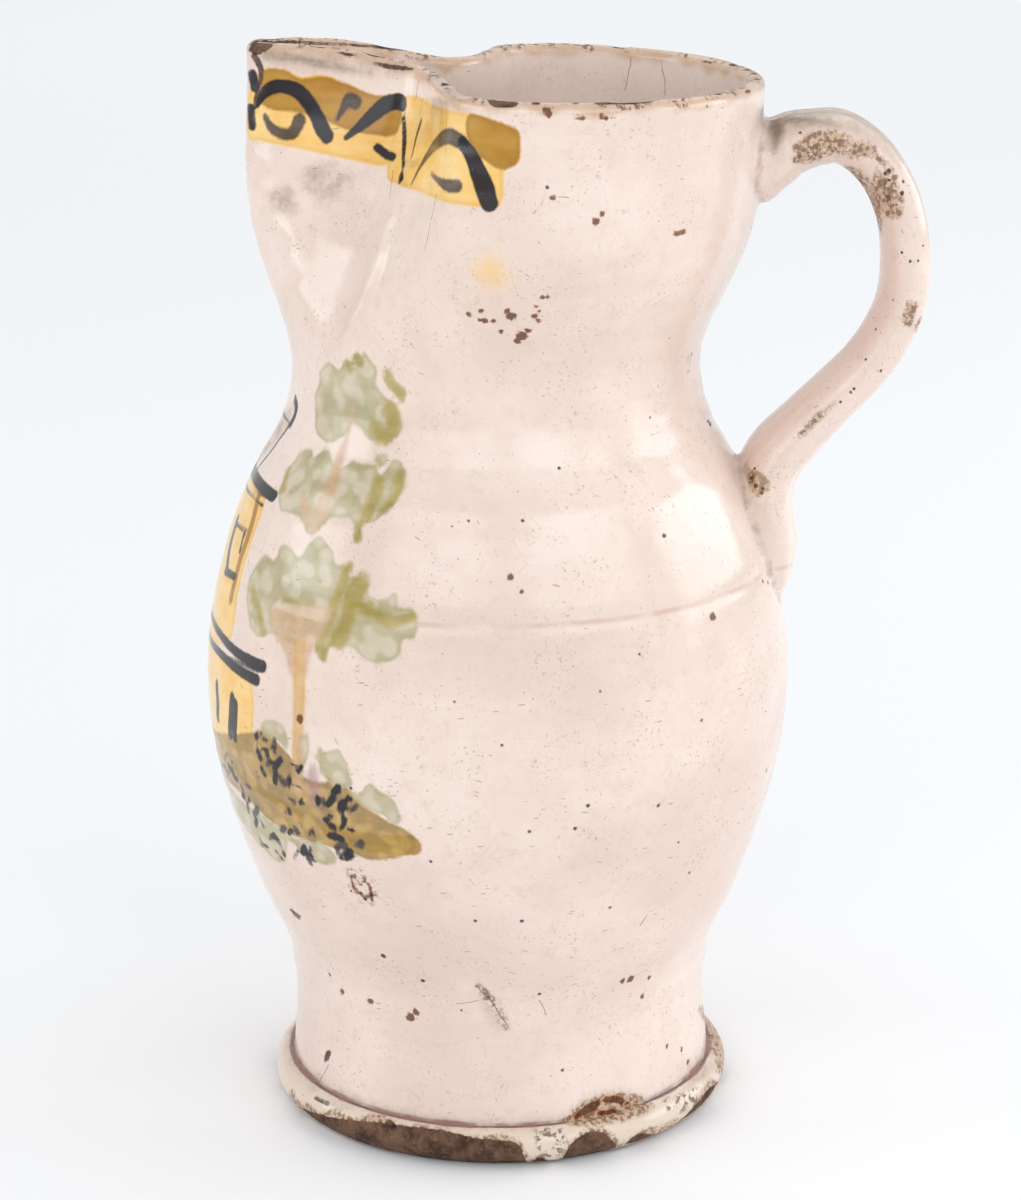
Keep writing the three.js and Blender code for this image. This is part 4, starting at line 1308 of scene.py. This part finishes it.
def attach_fields(mesh, skin):
    """Each field as a number on the mesh's vertices, taken from the skin's nearest point."""
    tree = kdtree.KDTree(len(skin.points))
    for i, point in enumerate(skin.points):
        tree.insert(point, i)
    tree.balance()
    places = read_points(mesh) / UNIT
    nearest = np.array([tree.find(place)[1] for place in places])
    values = {name: skin.fields[name] for name in FIELDS}
    values["inside"] = (skin.part == INSIDE).astype(float)
    # The strap's painted highlight and shade streaks
    along_strap = 1 - STREAK_VARIES + STREAK_VARIES * np.sin(STREAK_TURNS * skin.height)
    streak = waves(skin.angle, *STREAK_WAVES) * along_strap
    values["streak"] = np.where(skin.part == HANDLE, streak, 0)
    for name, field in values.items():
        attribute = mesh.attributes.new(name, "FLOAT", "POINT")
        attribute.data.foreach_set("value", field[nearest].astype(np.float32))
    return nearest


def build_jug():
    body_vertices, body_faces, body_normals, angle, height, part = body_skin()
    handle_vertices, handle_faces, handle_normals, share, around = handle_skin()
    skin = Skin(
        np.vstack([body_vertices, handle_vertices]),
        np.vstack([body_normals, handle_normals]),
        np.r_[angle, around],
        np.r_[height, share],
        np.r_[part, np.full(len(share), HANDLE)],
    )
    paint_picture(skin)
    for field, pixels, widths in SPOUT_FORM:
        paint_wall(skin, field, pixels, widths)
    add_wear_and_shade(skin)
    lines = hairlines(skin)
    skin.points += relief(skin)[:, None] * skin.normals
    spots = small_spots(skin)
    body_count = len(body_vertices)
    jug = mesh_object("jug_fine", skin.points[:body_count], body_faces)
    handle = mesh_object("handle", skin.points[body_count:], handle_faces)
    core = mesh_object("core", *core_skin())
    combine(handle, core, "DIFFERENCE")
    combine(jug, handle, "UNION")
    nearest = attach_fields(jug.data, skin)
    soften_seam(jug.data, skin.part[nearest] == HANDLE)
    return jug, lines, spots


# How bright the studio's light makes a white surface look, what the gloss adds over it, which the
# paint's colours allow for, and the least that a paint sends back
STUDIO_LIGHT = 1.06
GLOSS_VEIL = 0.022
DARKEST = 0.004

# The colours of glaze, painted highlight and shade, dirt and clay as they look in that light, out of 255
LOOKS = {
    "glaze_shade": (233, 210, 197), "glaze_light": (246, 226, 214), "glaze_patch": (232, 209, 192),
    "glaze_thin": (214, 190, 174), "pepper": (150, 124, 106), "inside": (240, 224, 214),
    "painted_streak_shade": (214, 190, 178), "painted_streak_highlight": (252, 234, 222), "foot": (226, 209, 186),
    "scribed": (206, 168, 150), "crazing": (170, 145, 132), "grime_and_shade": (154, 130, 106),
    "soot_and_shade": (120, 101, 84), "ring_dark": (98, 58, 56), "ring_light": (146, 98, 90),
    "worn_light": (206, 174, 146), "worn_dark": (134, 102, 78), "ore_light": (206, 172, 128),
    "ore_dark": (138, 100, 64), "rust_light": (172, 112, 58), "rust_dark": (96, 56, 24),
    "pinhole": (150, 118, 96), "pit": (84, 60, 50), "scratch": (136, 106, 88),
    "hairline": (104, 84, 78), "clay_dark": (66, 51, 44), "clay_light": (118, 91, 76),
    "clay_grit": (150, 120, 98), "umber_dark": (58, 38, 38), "umber_light": (104, 70, 66),
}

# How much each layer hides what is under it, and how much rougher some of them are
COVER = {
    "glaze_patch": 0.45, "glaze_thin": 0.3, "pepper": 0.45, "inside": 0.4, "painted_streak_shade": 0.2,
    "painted_streak_highlight": 0.5, "foot": 0.6, "scribed": 0.5, "crazing": 0.12, "grime_and_shade": 0.6, "soot_and_shade": 0.8,
    "ring": 0.85, "worn": 0.9, "ore": 0.8, "rust": 0.88, "pinhole": 0.55, "pit": 0.8,
    "scratch": 0.5, "hairline": 0.7, "bare": 0.97, "umber": 0.93,
}
ROUGHER = {"grime_and_shade": 0.25, "soot_and_shade": 0.3, "worn": 0.3, "rust": 0.3, "umber": 0.35, "bare": 0.7}

# Cloudy patterns: patches to a metre, fineness, roughness, and where each starts and is full
PATTERNS = {
    "pools": (100, 3, 0.6, 0.32, 0.7),
    "brushed": (260, 3, 0.6, 0.3, 0.72),
    "clouds": (20, 4, 0.6, 0.36, 0.66),
    "patches": (64, 4, 0.62, 0.42, 0.72),
    "thin": (330, 4, 0.7, 0.5, 0.74),
    "pepper": (1300, 2, 0.5, 0.6, 0.7),
    "pepper_drifts": (90, 3, 0.55, 0.42, 0.66),
    "scribed_gaps": (70, 3, 0.55, 0.36, 0.6),
    "dirt_and_shade": (210, 5, 0.75, 0.34, 0.64),
    "mottles": (620, 3, 0.6, 0.5, 0.58),
    "speckles": (900, 3, 0.6, 0.44, 0.56),
    "flakes": (720, 4, 0.7, 0.32, 0.48),
    "ore": (520, 3, 0.6, 0.42, 0.6),
    "clay": (170, 4, 0.65, 0.36, 0.66),
    "clay_grit": (900, 3, 0.6, 0.5, 0.7),
    "umber": (500, 3, 0.55, 0.4, 0.62),
    "gloss": (48, 3, 0.55, 0.3, 0.7),
}

# How edges are frayed and how they drift: patches to a metre and fineness
RAG = (900, 3)
DRIFT = (160, 2)

# The washes in the order they were painted: field, thin and thick colour, how much each hides,
# how soft its edge is, how far that frays and drifts in millimetres, and how much paint pooled
# there. The dabbed ones have two colours for each, the second where the brush pressed.
WASHES = [
    ("yellow", (253, 216, 146), (246, 190, 92), 0.95, 0.35, 0.25, 0.0, 0.35),
    ("ochre", (190, 142, 58), (165, 113, 30), 0.88, 0.4, 0.3, 0.2, 0.35),
    (
        "earth", ((204, 168, 98), (180, 144, 78)), ((168, 132, 64), (132, 106, 56)),
        0.9, 0.5, 0.4, 0.5, 0.15,
    ),
    (
        "green", ((216, 203, 180), (196, 186, 152)), ((196, 184, 152), (166, 156, 110)),
        0.88, 0.5, 0.4, 0.5, 0.25,
    ),
    ("olive", (190, 168, 96), (150, 132, 52), 0.78, 0.9, 0.6, 0.6, 0.0),
    ("tan", (222, 188, 158), (200, 158, 118), 0.7, 1.0, 0.5, 0.5, 0.1),
    ("purple", (205, 165, 158), (150, 112, 118), 0.6, 1.2, 0.8, 0.0, 0.0),
    ("slate", (98, 90, 88), (46, 44, 52), 0.92, 0.4, 0.3, 0.0, 0.35),
    ("navy", (50, 50, 62), (24, 24, 30), 0.98, 0.3, 0.2, 0.0, 0.2),
]
POOLS_TO_BRUSHED = (0.6, 0.4)
BRUSHED_STRETCH = (0.3, 0.3, 1.4)
POOL_SHADE = 0.75
POOL_REACH = (0.4, 1.6)

# The brush's dabs: how many to a metre, where they start and are full in a dabbed wash, the
# colour pooled round it, and how far the leaves' edges follow them
DABS = 270
DABBED = {"earth": (0.25, 0.5), "green": (0.3, 0.55)}
POOLED = {"earth": (130, 104, 58), "green": (158, 150, 104)}
LOBED = ("green", "olive")
LOBE_MIDDLE = 0.42
LOBE_DEPTH = 2.2

# How each kind of wear, dirt and painted shade shows: how far its marks fray and drift, how far its
# small spots fray, or none where it has none, and how deep in it starts and is full, in millimetres
WEAR_AND_SHADE_LOOKS = {
    "grime_and_shade": (1.2, 1.6, None, -2.0, 2.6),
    "seam": (0.4, 0.0, None, -0.8, 0.9),
    "soot_and_shade": (0.3, 0.6, None, -1.4, 2.0),
    "worn": (0.8, 0.5, None, -0.7, 0.5),
    "ore": (0.6, 0.3, None, -0.4, 0.4),
    "pitted": (0.8, 0.6, None, -0.9, 0.6),
    "rust": (0.5, 0.3, 0.9, -0.3, 0.1),
    "bare": (0.45, 0.3, 0.4, -0.15, 0.2),
    "umber": (0.3, 0.2, 0.3, -0.2, 0.2),
}
LEAST_DIRT_AND_SHADE = 0.25
PITTED_SHARE = 0.8
GRIT_SHARE = 0.4
RUST_DARKENS = (-0.1, 0.25)

# The strap's painted highlight and shade streaks, and the glaze of the foot, the scribed ring, the
# dark ring above the foot and the crazing: where each starts and is full, in millimetres where it is
# a length
STREAK_SHADE = (0.1, 1.0)
STREAK_HIGHLIGHT = (-0.9, -0.1)
FOOT_GLAZE = (FOOT_HEIGHT - 0.6, FOOT_HEIGHT + 0.2)
INSIDE_EDGE = (0.4, 0.6)
SCRIBED_FADE = (0.2, 0.9)
RING_FADE = (0.4, 1.0)
RING_DRIFT = 1.2
RING_SHADES = (-0.1, 0.1)
CRAZING = 230
CRAZE_FADE = (0.012, 0.03)
CRAZED_WHERE = (-0.06, 0.14)

# Specks: cells to a metre, the largest's reach as a share of a cell, and the share of cells that
# have one. Scratches are specks drawn out along their way and turned, most of them on the belly:
# the heights at which those start, are full, fade and end, and the shares off and on that band.
PINHOLES = (560, 0.13, 0.5)
PITS = (140, 0.05, 0.26)
BELLY_SCRATCHES = [
    (850, 0.15, (0.2, 0.2, 1), (0.12, 0.1, 0)),
    (800, 0.13, (0.16, 0.16, 1), (-0.4, -0.3, 0)),
]
CROSS_SCRATCHES = (700, 0.12, 0.14, (1, 1, 0.14), (0.3, 0.5, 0))
SCRATCHED_FROM = (45, 60)
SCRATCHED_TO = (118, 132)
SCRATCHED_SHARE = 0.5
SCRATCHED_ELSEWHERE = 0.1

# The hairlines: how far in or out of its own plane one is drawn, how it wanders, where it starts
# and ends as shares of its run, and where its edge starts and ends as shares of its half width
HAIRLINE_REACH = 4.0
HAIRLINE_WANDER = 1.6
HAIRLINE_NOISE = (240, 3, 0.6)
HAIRLINE_START = (-0.02, 0.06)
HAIRLINE_END = (0.9, 1.02)
HAIRLINE_EDGE = (0.5, 1.4)

# The surface: smoothest and roughest glaze, its ripples and grain as (patches to a metre, fineness,
# roughness), how deep in millimetres and how strong, and the grain of glaze against that of clay
GLOSS = 0.42
GLAZE_ROUGHNESS = (0.1, 0.2)
RIPPLE_NOISE = (60, 2, 0.4)
RIPPLE = (0.25, 0.5)
GRAIN_NOISE = (1500, 3, 0.7)
GRAIN = (0.3, 0.6)
GLAZE_GRAIN = 0.08
CLAY_GRAIN = 0.92
HOLE_DEPTH = 0.5


def seen(look):
    """The paint that looks like these screen values out of 255 in the studio's light."""
    def linear(value):
        value /= 255
        value = value / 12.92 if value <= 0.04045 else ((value + 0.055) / 1.055) ** 2.4
        return max(value - GLOSS_VEIL, DARKEST) / STUDIO_LIGHT
    return (*(linear(value) for value in look), 1.0)


def darker(colour, share):
    return (*(value * share for value in colour[:3]), 1.0)


class Nodes:
    """Short ways to add the nodes of one material."""

    def __init__(self, material):
        material.use_nodes = True
        self.tree = material.node_tree
        self.shader = self.tree.nodes["Principled BSDF"]
        self.place = self.tree.nodes.new("ShaderNodeTexCoord").outputs["Object"]

    def fill(self, node, inputs):
        """Links a node's inputs to sockets, or gives them values."""
        for name, value in inputs.items():
            if isinstance(value, bpy.types.NodeSocket):
                self.tree.links.new(value, node.inputs[name])
            else:
                node.inputs[name].default_value = value

    def add(self, kind, inputs, **settings):
        node = self.tree.nodes.new(kind)
        for name, value in settings.items():
            setattr(node, name, value)
        self.fill(node, inputs)
        return node

    def attribute(self, name):
        return self.add("ShaderNodeAttribute", {}, attribute_name=name).outputs["Fac"]

    def math(self, operation, a, b=0.0, clamp=False):
        node = self.add("ShaderNodeMath", {0: a, 1: b}, operation=operation, use_clamp=clamp)
        return node.outputs[0]

    def plus(self, a, b):
        return self.math("ADD", a, b)

    def minus(self, a, b):
        return self.math("SUBTRACT", a, b)

    def times(self, a, b):
        return self.math("MULTIPLY", a, b)

    def larger(self, a, b):
        return self.math("MAXIMUM", a, b)

    def length(self, a, b):
        """The long side of a right-angled triangle with these short sides."""
        return self.math("SQRT", self.plus(self.times(a, a), self.times(b, b)))

    def mapped(self, stretch=None, tilt=None):
        """The place on the jug, turned and then stretched."""
        place = self.place
        for kind, value in (("Rotation", tilt), ("Scale", stretch)):
            if value:
                place = self.add("ShaderNodeMapping", {"Vector": place, kind: value}).outputs[0]
        return place

    def noise(self, scale, detail, roughness=0.55, stretch=None):
        inputs = {
            "Vector": self.mapped(stretch), "Scale": scale, "Detail": detail, "Roughness": roughness,
        }
        return self.add("ShaderNodeTexNoise", inputs).outputs["Fac"]

    def uneven(self, *noise):
        """A value about 0 that wanders by about a half."""
        return self.minus(self.noise(*noise), 0.5)

    def cells(self, scale, feature="F1", stretch=None, tilt=None):
        inputs = {"Vector": self.mapped(stretch, tilt), "Scale": scale}
        return self.add("ShaderNodeTexVoronoi", inputs, feature=feature)

    def step(self, value, low, high, first=0.0, last=1.0):
        inputs = {
            "Value": value, "From Min": low, "From Max": high, "To Min": first, "To Max": last,
        }
        return self.add("ShaderNodeMapRange", inputs, interpolation_type="SMOOTHSTEP").outputs[0]

    def fall(self, value, low, high):
        """1 below a range, 0 above it."""
        return self.step(value, low, high, 1, 0)

    def mix(self, share, a, b):
        return self.add("ShaderNodeMix", {0: share, 6: a, 7: b}, data_type="RGBA").outputs[2]

    def vector(self, operation, inputs, output):
        return self.add("ShaderNodeVectorMath", inputs, operation=operation).outputs[output]

    def bump(self, height, distance, strength, **under):
        inputs = {"Height": height, "Distance": distance * UNIT, "Strength": strength, **under}
        return self.add("ShaderNodeBump", inputs).outputs[0]


class Glaze(Nodes):
    """The glaze and what lies on it, laid one layer over another."""

    def __init__(self, material, spots):
        super().__init__(material)
        self.spots = spots
        self.x, self.y, self.height = self.add("ShaderNodeSeparateXYZ", {0: self.place}).outputs
        self.millimetres = self.vector("SCALE", {0: self.place, "Scale": 1 / UNIT}, "Vector")
        self.rag = self.uneven(*RAG)
        self.drift = self.uneven(*DRIFT)
        self.colour = self.two_tone(self.pattern("clouds"), "glaze_shade", "glaze_light")
        self.rough = self.pattern("gloss", *GLAZE_ROUGHNESS)

    def pattern(self, name, first=0.0, last=1.0, stretch=None):
        scale, detail, roughness, start, full = PATTERNS[name]
        return self.step(self.noise(scale, detail, roughness, stretch), start, full, first, last)

    def two_tone(self, share, first, second):
        return self.mix(share, seen(LOOKS[first]), seen(LOOKS[second]))

    def lay(self, layer, where, colour=None):
        """Lays one layer over what is there already, where it shows."""
        paint = seen(LOOKS[layer]) if colour is None else colour
        self.colour = self.mix(self.times(where, COVER[layer]), self.colour, paint)

    def roughen(self, layer, where):
        self.rough = self.math("ADD", self.rough, self.times(where, ROUGHER[layer]), clamp=True)

    def marks(self, name, frays, drifts):
        """How deep a point lies in a field's marks, unevenly by so many millimetres."""
        depth = self.plus(self.attribute(name), self.times(self.rag, frays * 2))
        return self.plus(depth, self.times(self.drift, drifts * 2)) if drifts else depth

    def in_spots(self, name, frays):
        """How deep a point lies in the nearest small spot of one kind, in millimetres."""
        deepest = FAR_OUTSIDE
        for centre, radius in self.spots[name]:
            gap = self.vector("DISTANCE", {0: self.millimetres, 1: tuple(centre)}, "Value")
            deepest = self.larger(deepest, self.minus(radius, gap))
        return self.plus(deepest, self.times(self.rag, frays * 2))

    def wear_and_shade(self, name):
        """Where one kind of wear, dirt or painted shade shows, and how deep a point lies in it."""
        frays, drifts, spots_fray, start, full = WEAR_AND_SHADE_LOOKS[name]
        depth = self.marks(name, frays, drifts)
        if spots_fray:
            depth = self.larger(depth, self.in_spots(name, spots_fray))
        return self.step(depth, start, full), depth

    def specks(self, scale, reach, kept, stretch=None, tilt=None):
        """Small dark marks, one in some of the cells of a scattered pattern."""
        cells = self.cells(scale, "F1", stretch, tilt)
        pick = self.add("ShaderNodeSeparateColor", {0: cells.outputs["Color"]})
        size = self.times(pick.outputs[1], reach)
        spot = self.math("LESS_THAN", cells.outputs["Distance"], size)
        return self.times(spot, self.math("LESS_THAN", pick.outputs[0], kept))

    def hairline(self, start, run, across, width):
        """Where a straight hairline lies: a thin plane cut through the wall between two ends."""
        def along(direction):
            way = {0: self.place, 1: tuple(direction / UNIT)}
            return self.minus(self.vector("DOT_PRODUCT", way, "Value"), float(start @ direction))

        share = along(run / (run @ run))
        ends = self.times(self.step(share, *HAIRLINE_START), self.fall(share, *HAIRLINE_END))
        wander = self.times(self.uneven(*HAIRLINE_NOISE), HAIRLINE_WANDER)
        aside = self.math("ABSOLUTE", self.plus(along(across), wander))
        level = np.cross(across, run)
        depth = self.math("ABSOLUTE", along(level / np.linalg.norm(level)))
        near = self.math("LESS_THAN", depth, HAIRLINE_REACH)
        line = self.fall(aside, *(width * edge for edge in HAIRLINE_EDGE))
        return self.times(self.times(line, ends), near)

    def lay_glaze(self):
        """The glaze itself: pinkish cream, cloudy, crazed and speckled."""
        self.lay("glaze_patch", self.pattern("patches"))
        self.lay("glaze_thin", self.pattern("thin"))
        self.lay("pepper", self.times(self.pattern("pepper"), self.pattern("pepper_drifts")))
        inside = self.attribute("inside")
        self.lay("inside", inside)
        # Painted highlights and shade: paler and darker streaks along the strap
        streak = self.attribute("streak")
        self.lay("painted_streak_shade", self.step(streak, *STREAK_SHADE))
        self.lay("painted_streak_highlight", self.fall(streak, *STREAK_HIGHLIGHT))
        self.lay("foot", self.fall(self.height, *(height * UNIT for height in FOOT_GLAZE)))
        from_line = self.math("ABSOLUTE", self.minus(self.height, SCRIBED_HEIGHT * UNIT))
        scribed = self.fall(from_line, *(reach * UNIT for reach in SCRIBED_FADE))
        scribed = self.times(scribed, self.pattern("scribed_gaps"))
        self.lay("scribed", self.times(scribed, self.fall(inside, *INSIDE_EDGE)))
        crazing = self.cells(CRAZING, "DISTANCE_TO_EDGE").outputs["Distance"]
        crazed = self.times(self.fall(crazing, *CRAZE_FADE), self.step(self.drift, *CRAZED_WHERE))
        self.lay("crazing", crazed)

    def lay_painting(self):
        """Washes thin enough to see through, and leaves dabbed on with a loaded brush."""
        pools, brushed = self.pattern("pools"), self.pattern("brushed", stretch=BRUSHED_STRETCH)
        pooled_share, brushed_share = POOLS_TO_BRUSHED
        loaded = self.plus(self.times(pools, pooled_share), self.times(brushed, brushed_share))
        dabs = self.cells(DABS, "SMOOTH_F1").outputs["Distance"]
        lobes = self.times(self.minus(LOBE_MIDDLE, dabs), LOBE_DEPTH)
        for field, thin, thick, cover, soft, frays, drifts, pooled in WASHES:
            depth = self.marks(field, frays, drifts)
            if field in LOBED:
                depth = self.plus(depth, lobes)
            if field in DABBED:
                pressed = self.step(dabs, *DABBED[field])
                thin, thick = (self.mix(pressed, seen(a), seen(b)) for a, b in (thin, thick))
                pool = seen(POOLED[field])
            else:
                thin, thick = seen(thin), seen(thick)
                pool = darker(thick, POOL_SHADE)
            edge = self.times(self.step(depth, 0, soft), self.fall(depth, *POOL_REACH))
            tone = self.mix(self.times(edge, pooled), self.mix(loaded, thin, thick), pool)
            self.colour = self.mix(self.times(self.step(depth, -soft, soft), cover), self.colour, tone)

    def lay_dirt_and_shade(self):
        """Dirt, soot and the painted shade laid with them, the dark ring above the foot, worn glaze, ore
        and rust.
        """
        # Dirt, with painted shade on the handle's upper face and in the seam and creases at its joints
        dirt_and_shade_mask = self.larger(self.wear_and_shade("grime_and_shade")[0], self.wear_and_shade("seam")[0])
        grime_and_shade = self.times(dirt_and_shade_mask, self.pattern("dirt_and_shade", LEAST_DIRT_AND_SHADE))
        self.lay("grime_and_shade", grime_and_shade)
        self.roughen("grime_and_shade", grime_and_shade)
        # Soot, with painted shade in the creases at the handle's joints
        soot_and_shade = self.wear_and_shade("soot_and_shade")[0]
        self.lay("soot_and_shade", soot_and_shade)
        self.roughen("soot_and_shade", soot_and_shade)
        from_axis = self.length(self.x, self.y)
        out = self.minus(from_axis, STEP_CORNER_RADIUS * UNIT)
        up = self.minus(self.height, STEP_CORNER_HEIGHT * UNIT)
        from_corner = self.minus(self.length(out, up), self.times(self.drift, RING_DRIFT * UNIT))
        ring = self.fall(from_corner, *(reach * UNIT for reach in RING_FADE))
        shade = self.step(self.drift, *RING_SHADES)
        self.lay("ring", ring, self.two_tone(shade, "ring_dark", "ring_light"))
        speckled = self.two_tone(self.pattern("speckles"), "worn_light", "worn_dark")
        worn = self.wear_and_shade("worn")[0]
        self.lay("worn", self.times(worn, self.pattern("flakes")), speckled)
        self.roughen("worn", worn)
        earthy = self.two_tone(self.pattern("ore"), "ore_light", "ore_dark")
        self.lay("ore", self.wear_and_shade("ore")[0], earthy)
        rust, rust_depth = self.wear_and_shade("rust")
        darkened = self.step(rust_depth, *RUST_DARKENS)
        self.lay("rust", rust, self.two_tone(darkened, "rust_light", "rust_dark"))
        self.roughen("rust", rust)

    def lay_specks(self, lines):
        """Pinholes, pits, scratches and hairlines."""
        self.pinholes, self.pits = self.specks(*PINHOLES), self.specks(*PITS)
        self.lay("pinhole", self.pinholes)
        self.lay("pit", self.pits)
        started = self.step(self.height, *(height * UNIT for height in SCRATCHED_FROM))
        band = self.times(started, self.fall(self.height, *(height * UNIT for height in SCRATCHED_TO)))
        kept = self.plus(self.times(band, SCRATCHED_SHARE), SCRATCHED_ELSEWHERE)
        scratches = self.specks(*CROSS_SCRATCHES)
        for scale, reach, stretch, tilt in BELLY_SCRATCHES:
            scratches = self.larger(scratches, self.specks(scale, reach, kept, stretch, tilt))
        self.lay("scratch", scratches)
        for line in lines:
            self.lay("hairline", self.hairline(*line))

    def lay_bare(self):
        """Bare, broken and stained places."""
        pitted = self.times(self.times(self.wear_and_shade("pitted")[0], self.pattern("mottles")), PITTED_SHARE)
        self.bare = self.larger(self.wear_and_shade("bare")[0], pitted)
        clay = self.two_tone(self.pattern("clay"), "clay_dark", "clay_light")
        grit = self.pattern("clay_grit", 0, GRIT_SHARE)
        self.lay("bare", self.bare, self.mix(grit, clay, seen(LOOKS["clay_grit"])))
        self.roughen("bare", self.bare)
        umber = self.wear_and_shade("umber")[0]
        self.lay("umber", umber, self.two_tone(self.pattern("umber"), "umber_dark", "umber_light"))
        self.roughen("umber", umber)

    def finish(self):
        """Joins the layers to the shader, with the surface's ripples, grain and small holes."""
        grain = self.plus(self.times(self.bare, CLAY_GRAIN), GLAZE_GRAIN)
        holes = self.times(self.larger(self.pinholes, self.pits), HOLE_DEPTH)
        surface = self.minus(self.times(self.noise(*GRAIN_NOISE), grain), holes)
        ripple = self.bump(self.noise(*RIPPLE_NOISE), *RIPPLE)
        self.fill(self.shader, {
            "Base Color": self.colour,
            "Roughness": self.rough,
            "Specular IOR Level": GLOSS,
            "Normal": self.bump(surface, *GRAIN, Normal=ripple),
        })


def glaze_material(lines, spots):
    material = bpy.data.materials.new("painted_tin_glaze")
    glaze = Glaze(material, spots)
    glaze.lay_glaze()
    glaze.lay_painting()
    glaze.lay_dirt_and_shade()
    glaze.lay_specks(lines)
    glaze.lay_bare()
    glaze.finish()
    return material


SENSOR_WIDTH = 36


def camera():
    """The photograph's own viewpoint: a long lens, a little above the rim, turned to the handle."""
    data = bpy.data.cameras.new("camera")
    data.sensor_fit = "HORIZONTAL"
    data.sensor_width = SENSOR_WIDTH
    data.lens = data.sensor_width * FOCAL_PIXELS / PHOTO_WIDTH
    data.shift_x = (PHOTO_WIDTH / 2 - PHOTO_CENTRE[0]) / PHOTO_WIDTH
    data.shift_y = (PHOTO_CENTRE[1] - PHOTO_HEIGHT / 2) / PHOTO_WIDTH
    obj = bpy.data.objects.new("camera", data)
    obj.location = UNIT * Vector((
        CAMERA_DISTANCE * math.sin(CAMERA_TURN),
        -CAMERA_DISTANCE * math.cos(CAMERA_TURN),
        CAMERA_HEIGHT,
    ))
    down = Euler((math.pi / 2 - CAMERA_DOWN, 0, 0)).to_matrix()
    roll = Euler((0, 0, -CAMERA_ROLL)).to_matrix()
    turn = Euler((0, 0, CAMERA_TURN)).to_matrix()
    obj.rotation_euler = (turn @ down @ roll).to_euler()
    bpy.context.scene.collection.objects.link(obj)
    bpy.context.scene.camera = obj


# The lamps as (name, turn from the camera's side in degrees, climb in degrees, distance, width,
# height, brightness), all facing the jug
SOFTBOXES = [
    ("front_left_box", -23, 26, 1.6, 1.3, 0.72, 1.7),
    ("front_right_box", 41, 26, 1.6, 1.3, 0.68, 2.15),
    ("right_box", 102, 14, 1.6, 1.3, 0.66, 3.4),
    ("left_box", -82, 16, 1.6, 0.8, 0.6, 3.2),
]
BACK_BOX_PLACE = (0, 3.2, 2.6)
BACK_BOX_SIZE = 4.0
BACK_BOX_POWER = 36.0
FLOOR_REACH = 9.0
LAMP_COLOUR = (0.87, 0.94, 1.0)
WORLD_STRENGTH = 0.68
PAPER_COLOUR = (0.93, 0.93, 0.935, 1)
PAPER_ROUGHNESS = 0.95
PAPER_GLOSS = 0.1


def studio():
    floor_mesh = bpy.data.meshes.new("floor")
    corners = [(x * FLOOR_REACH, y * FLOOR_REACH, 0) for x, y in ((-1, -1), (1, -1), (1, 1), (-1, 1))]
    floor_mesh.from_pydata(corners, [], [(0, 1, 2, 3)])
    floor = bpy.data.objects.new("floor", floor_mesh)
    bpy.context.scene.collection.objects.link(floor)
    paper = bpy.data.materials.new("paper")
    paper.use_nodes = True
    shader = paper.node_tree.nodes["Principled BSDF"]
    shader.inputs["Base Color"].default_value = PAPER_COLOUR
    shader.inputs["Roughness"].default_value = PAPER_ROUGHNESS
    shader.inputs["Specular IOR Level"].default_value = PAPER_GLOSS
    floor_mesh.materials.append(paper)
    world = bpy.data.worlds.new("studio")
    world.use_nodes = True
    background = world.node_tree.nodes["Background"]
    background.inputs["Color"].default_value = (1, 1, 1, 1)
    background.inputs["Strength"].default_value = WORLD_STRENGTH
    bpy.context.scene.world = world

    def softbox(name, place, aim, width, height, power):
        data = bpy.data.lights.new(name, "AREA")
        data.shape = "RECTANGLE"
        data.size, data.size_y = width, height
        data.energy = power
        data.color = LAMP_COLOUR
        lamp = bpy.data.objects.new(name, data)
        lamp.location = place
        lamp.rotation_euler = (aim - place).to_track_quat("-Z", "Y").to_euler()
        bpy.context.scene.collection.objects.link(lamp)

    middle = Vector((0, 0, JUG_HEIGHT / 2 * UNIT))
    for name, turn, climb, distance, width, height, brightness in SOFTBOXES:
        turn, climb = math.radians(turn), math.radians(climb)
        level = math.cos(climb)
        way = Vector((math.sin(turn) * level, -math.cos(turn) * level, math.sin(climb)))
        power = brightness * math.pi * width * height
        softbox(name, middle + distance * way, middle, width, height, power)
    above = Vector(BACK_BOX_PLACE)
    below = Vector((above.x, above.y, 0))
    softbox("back_box", above, below, BACK_BOX_SIZE, BACK_BOX_SIZE, BACK_BOX_POWER)


jug, jug_hairlines, jug_spots = build_jug()
jug.data.materials.clear()
jug.data.materials.append(glaze_material(jug_hairlines, jug_spots))
for polygon in jug.data.polygons:
    polygon.use_smooth = True
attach(jug, "root")
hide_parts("jug")
camera()
studio()
bpy.context.scene.view_settings.view_transform = "Standard"
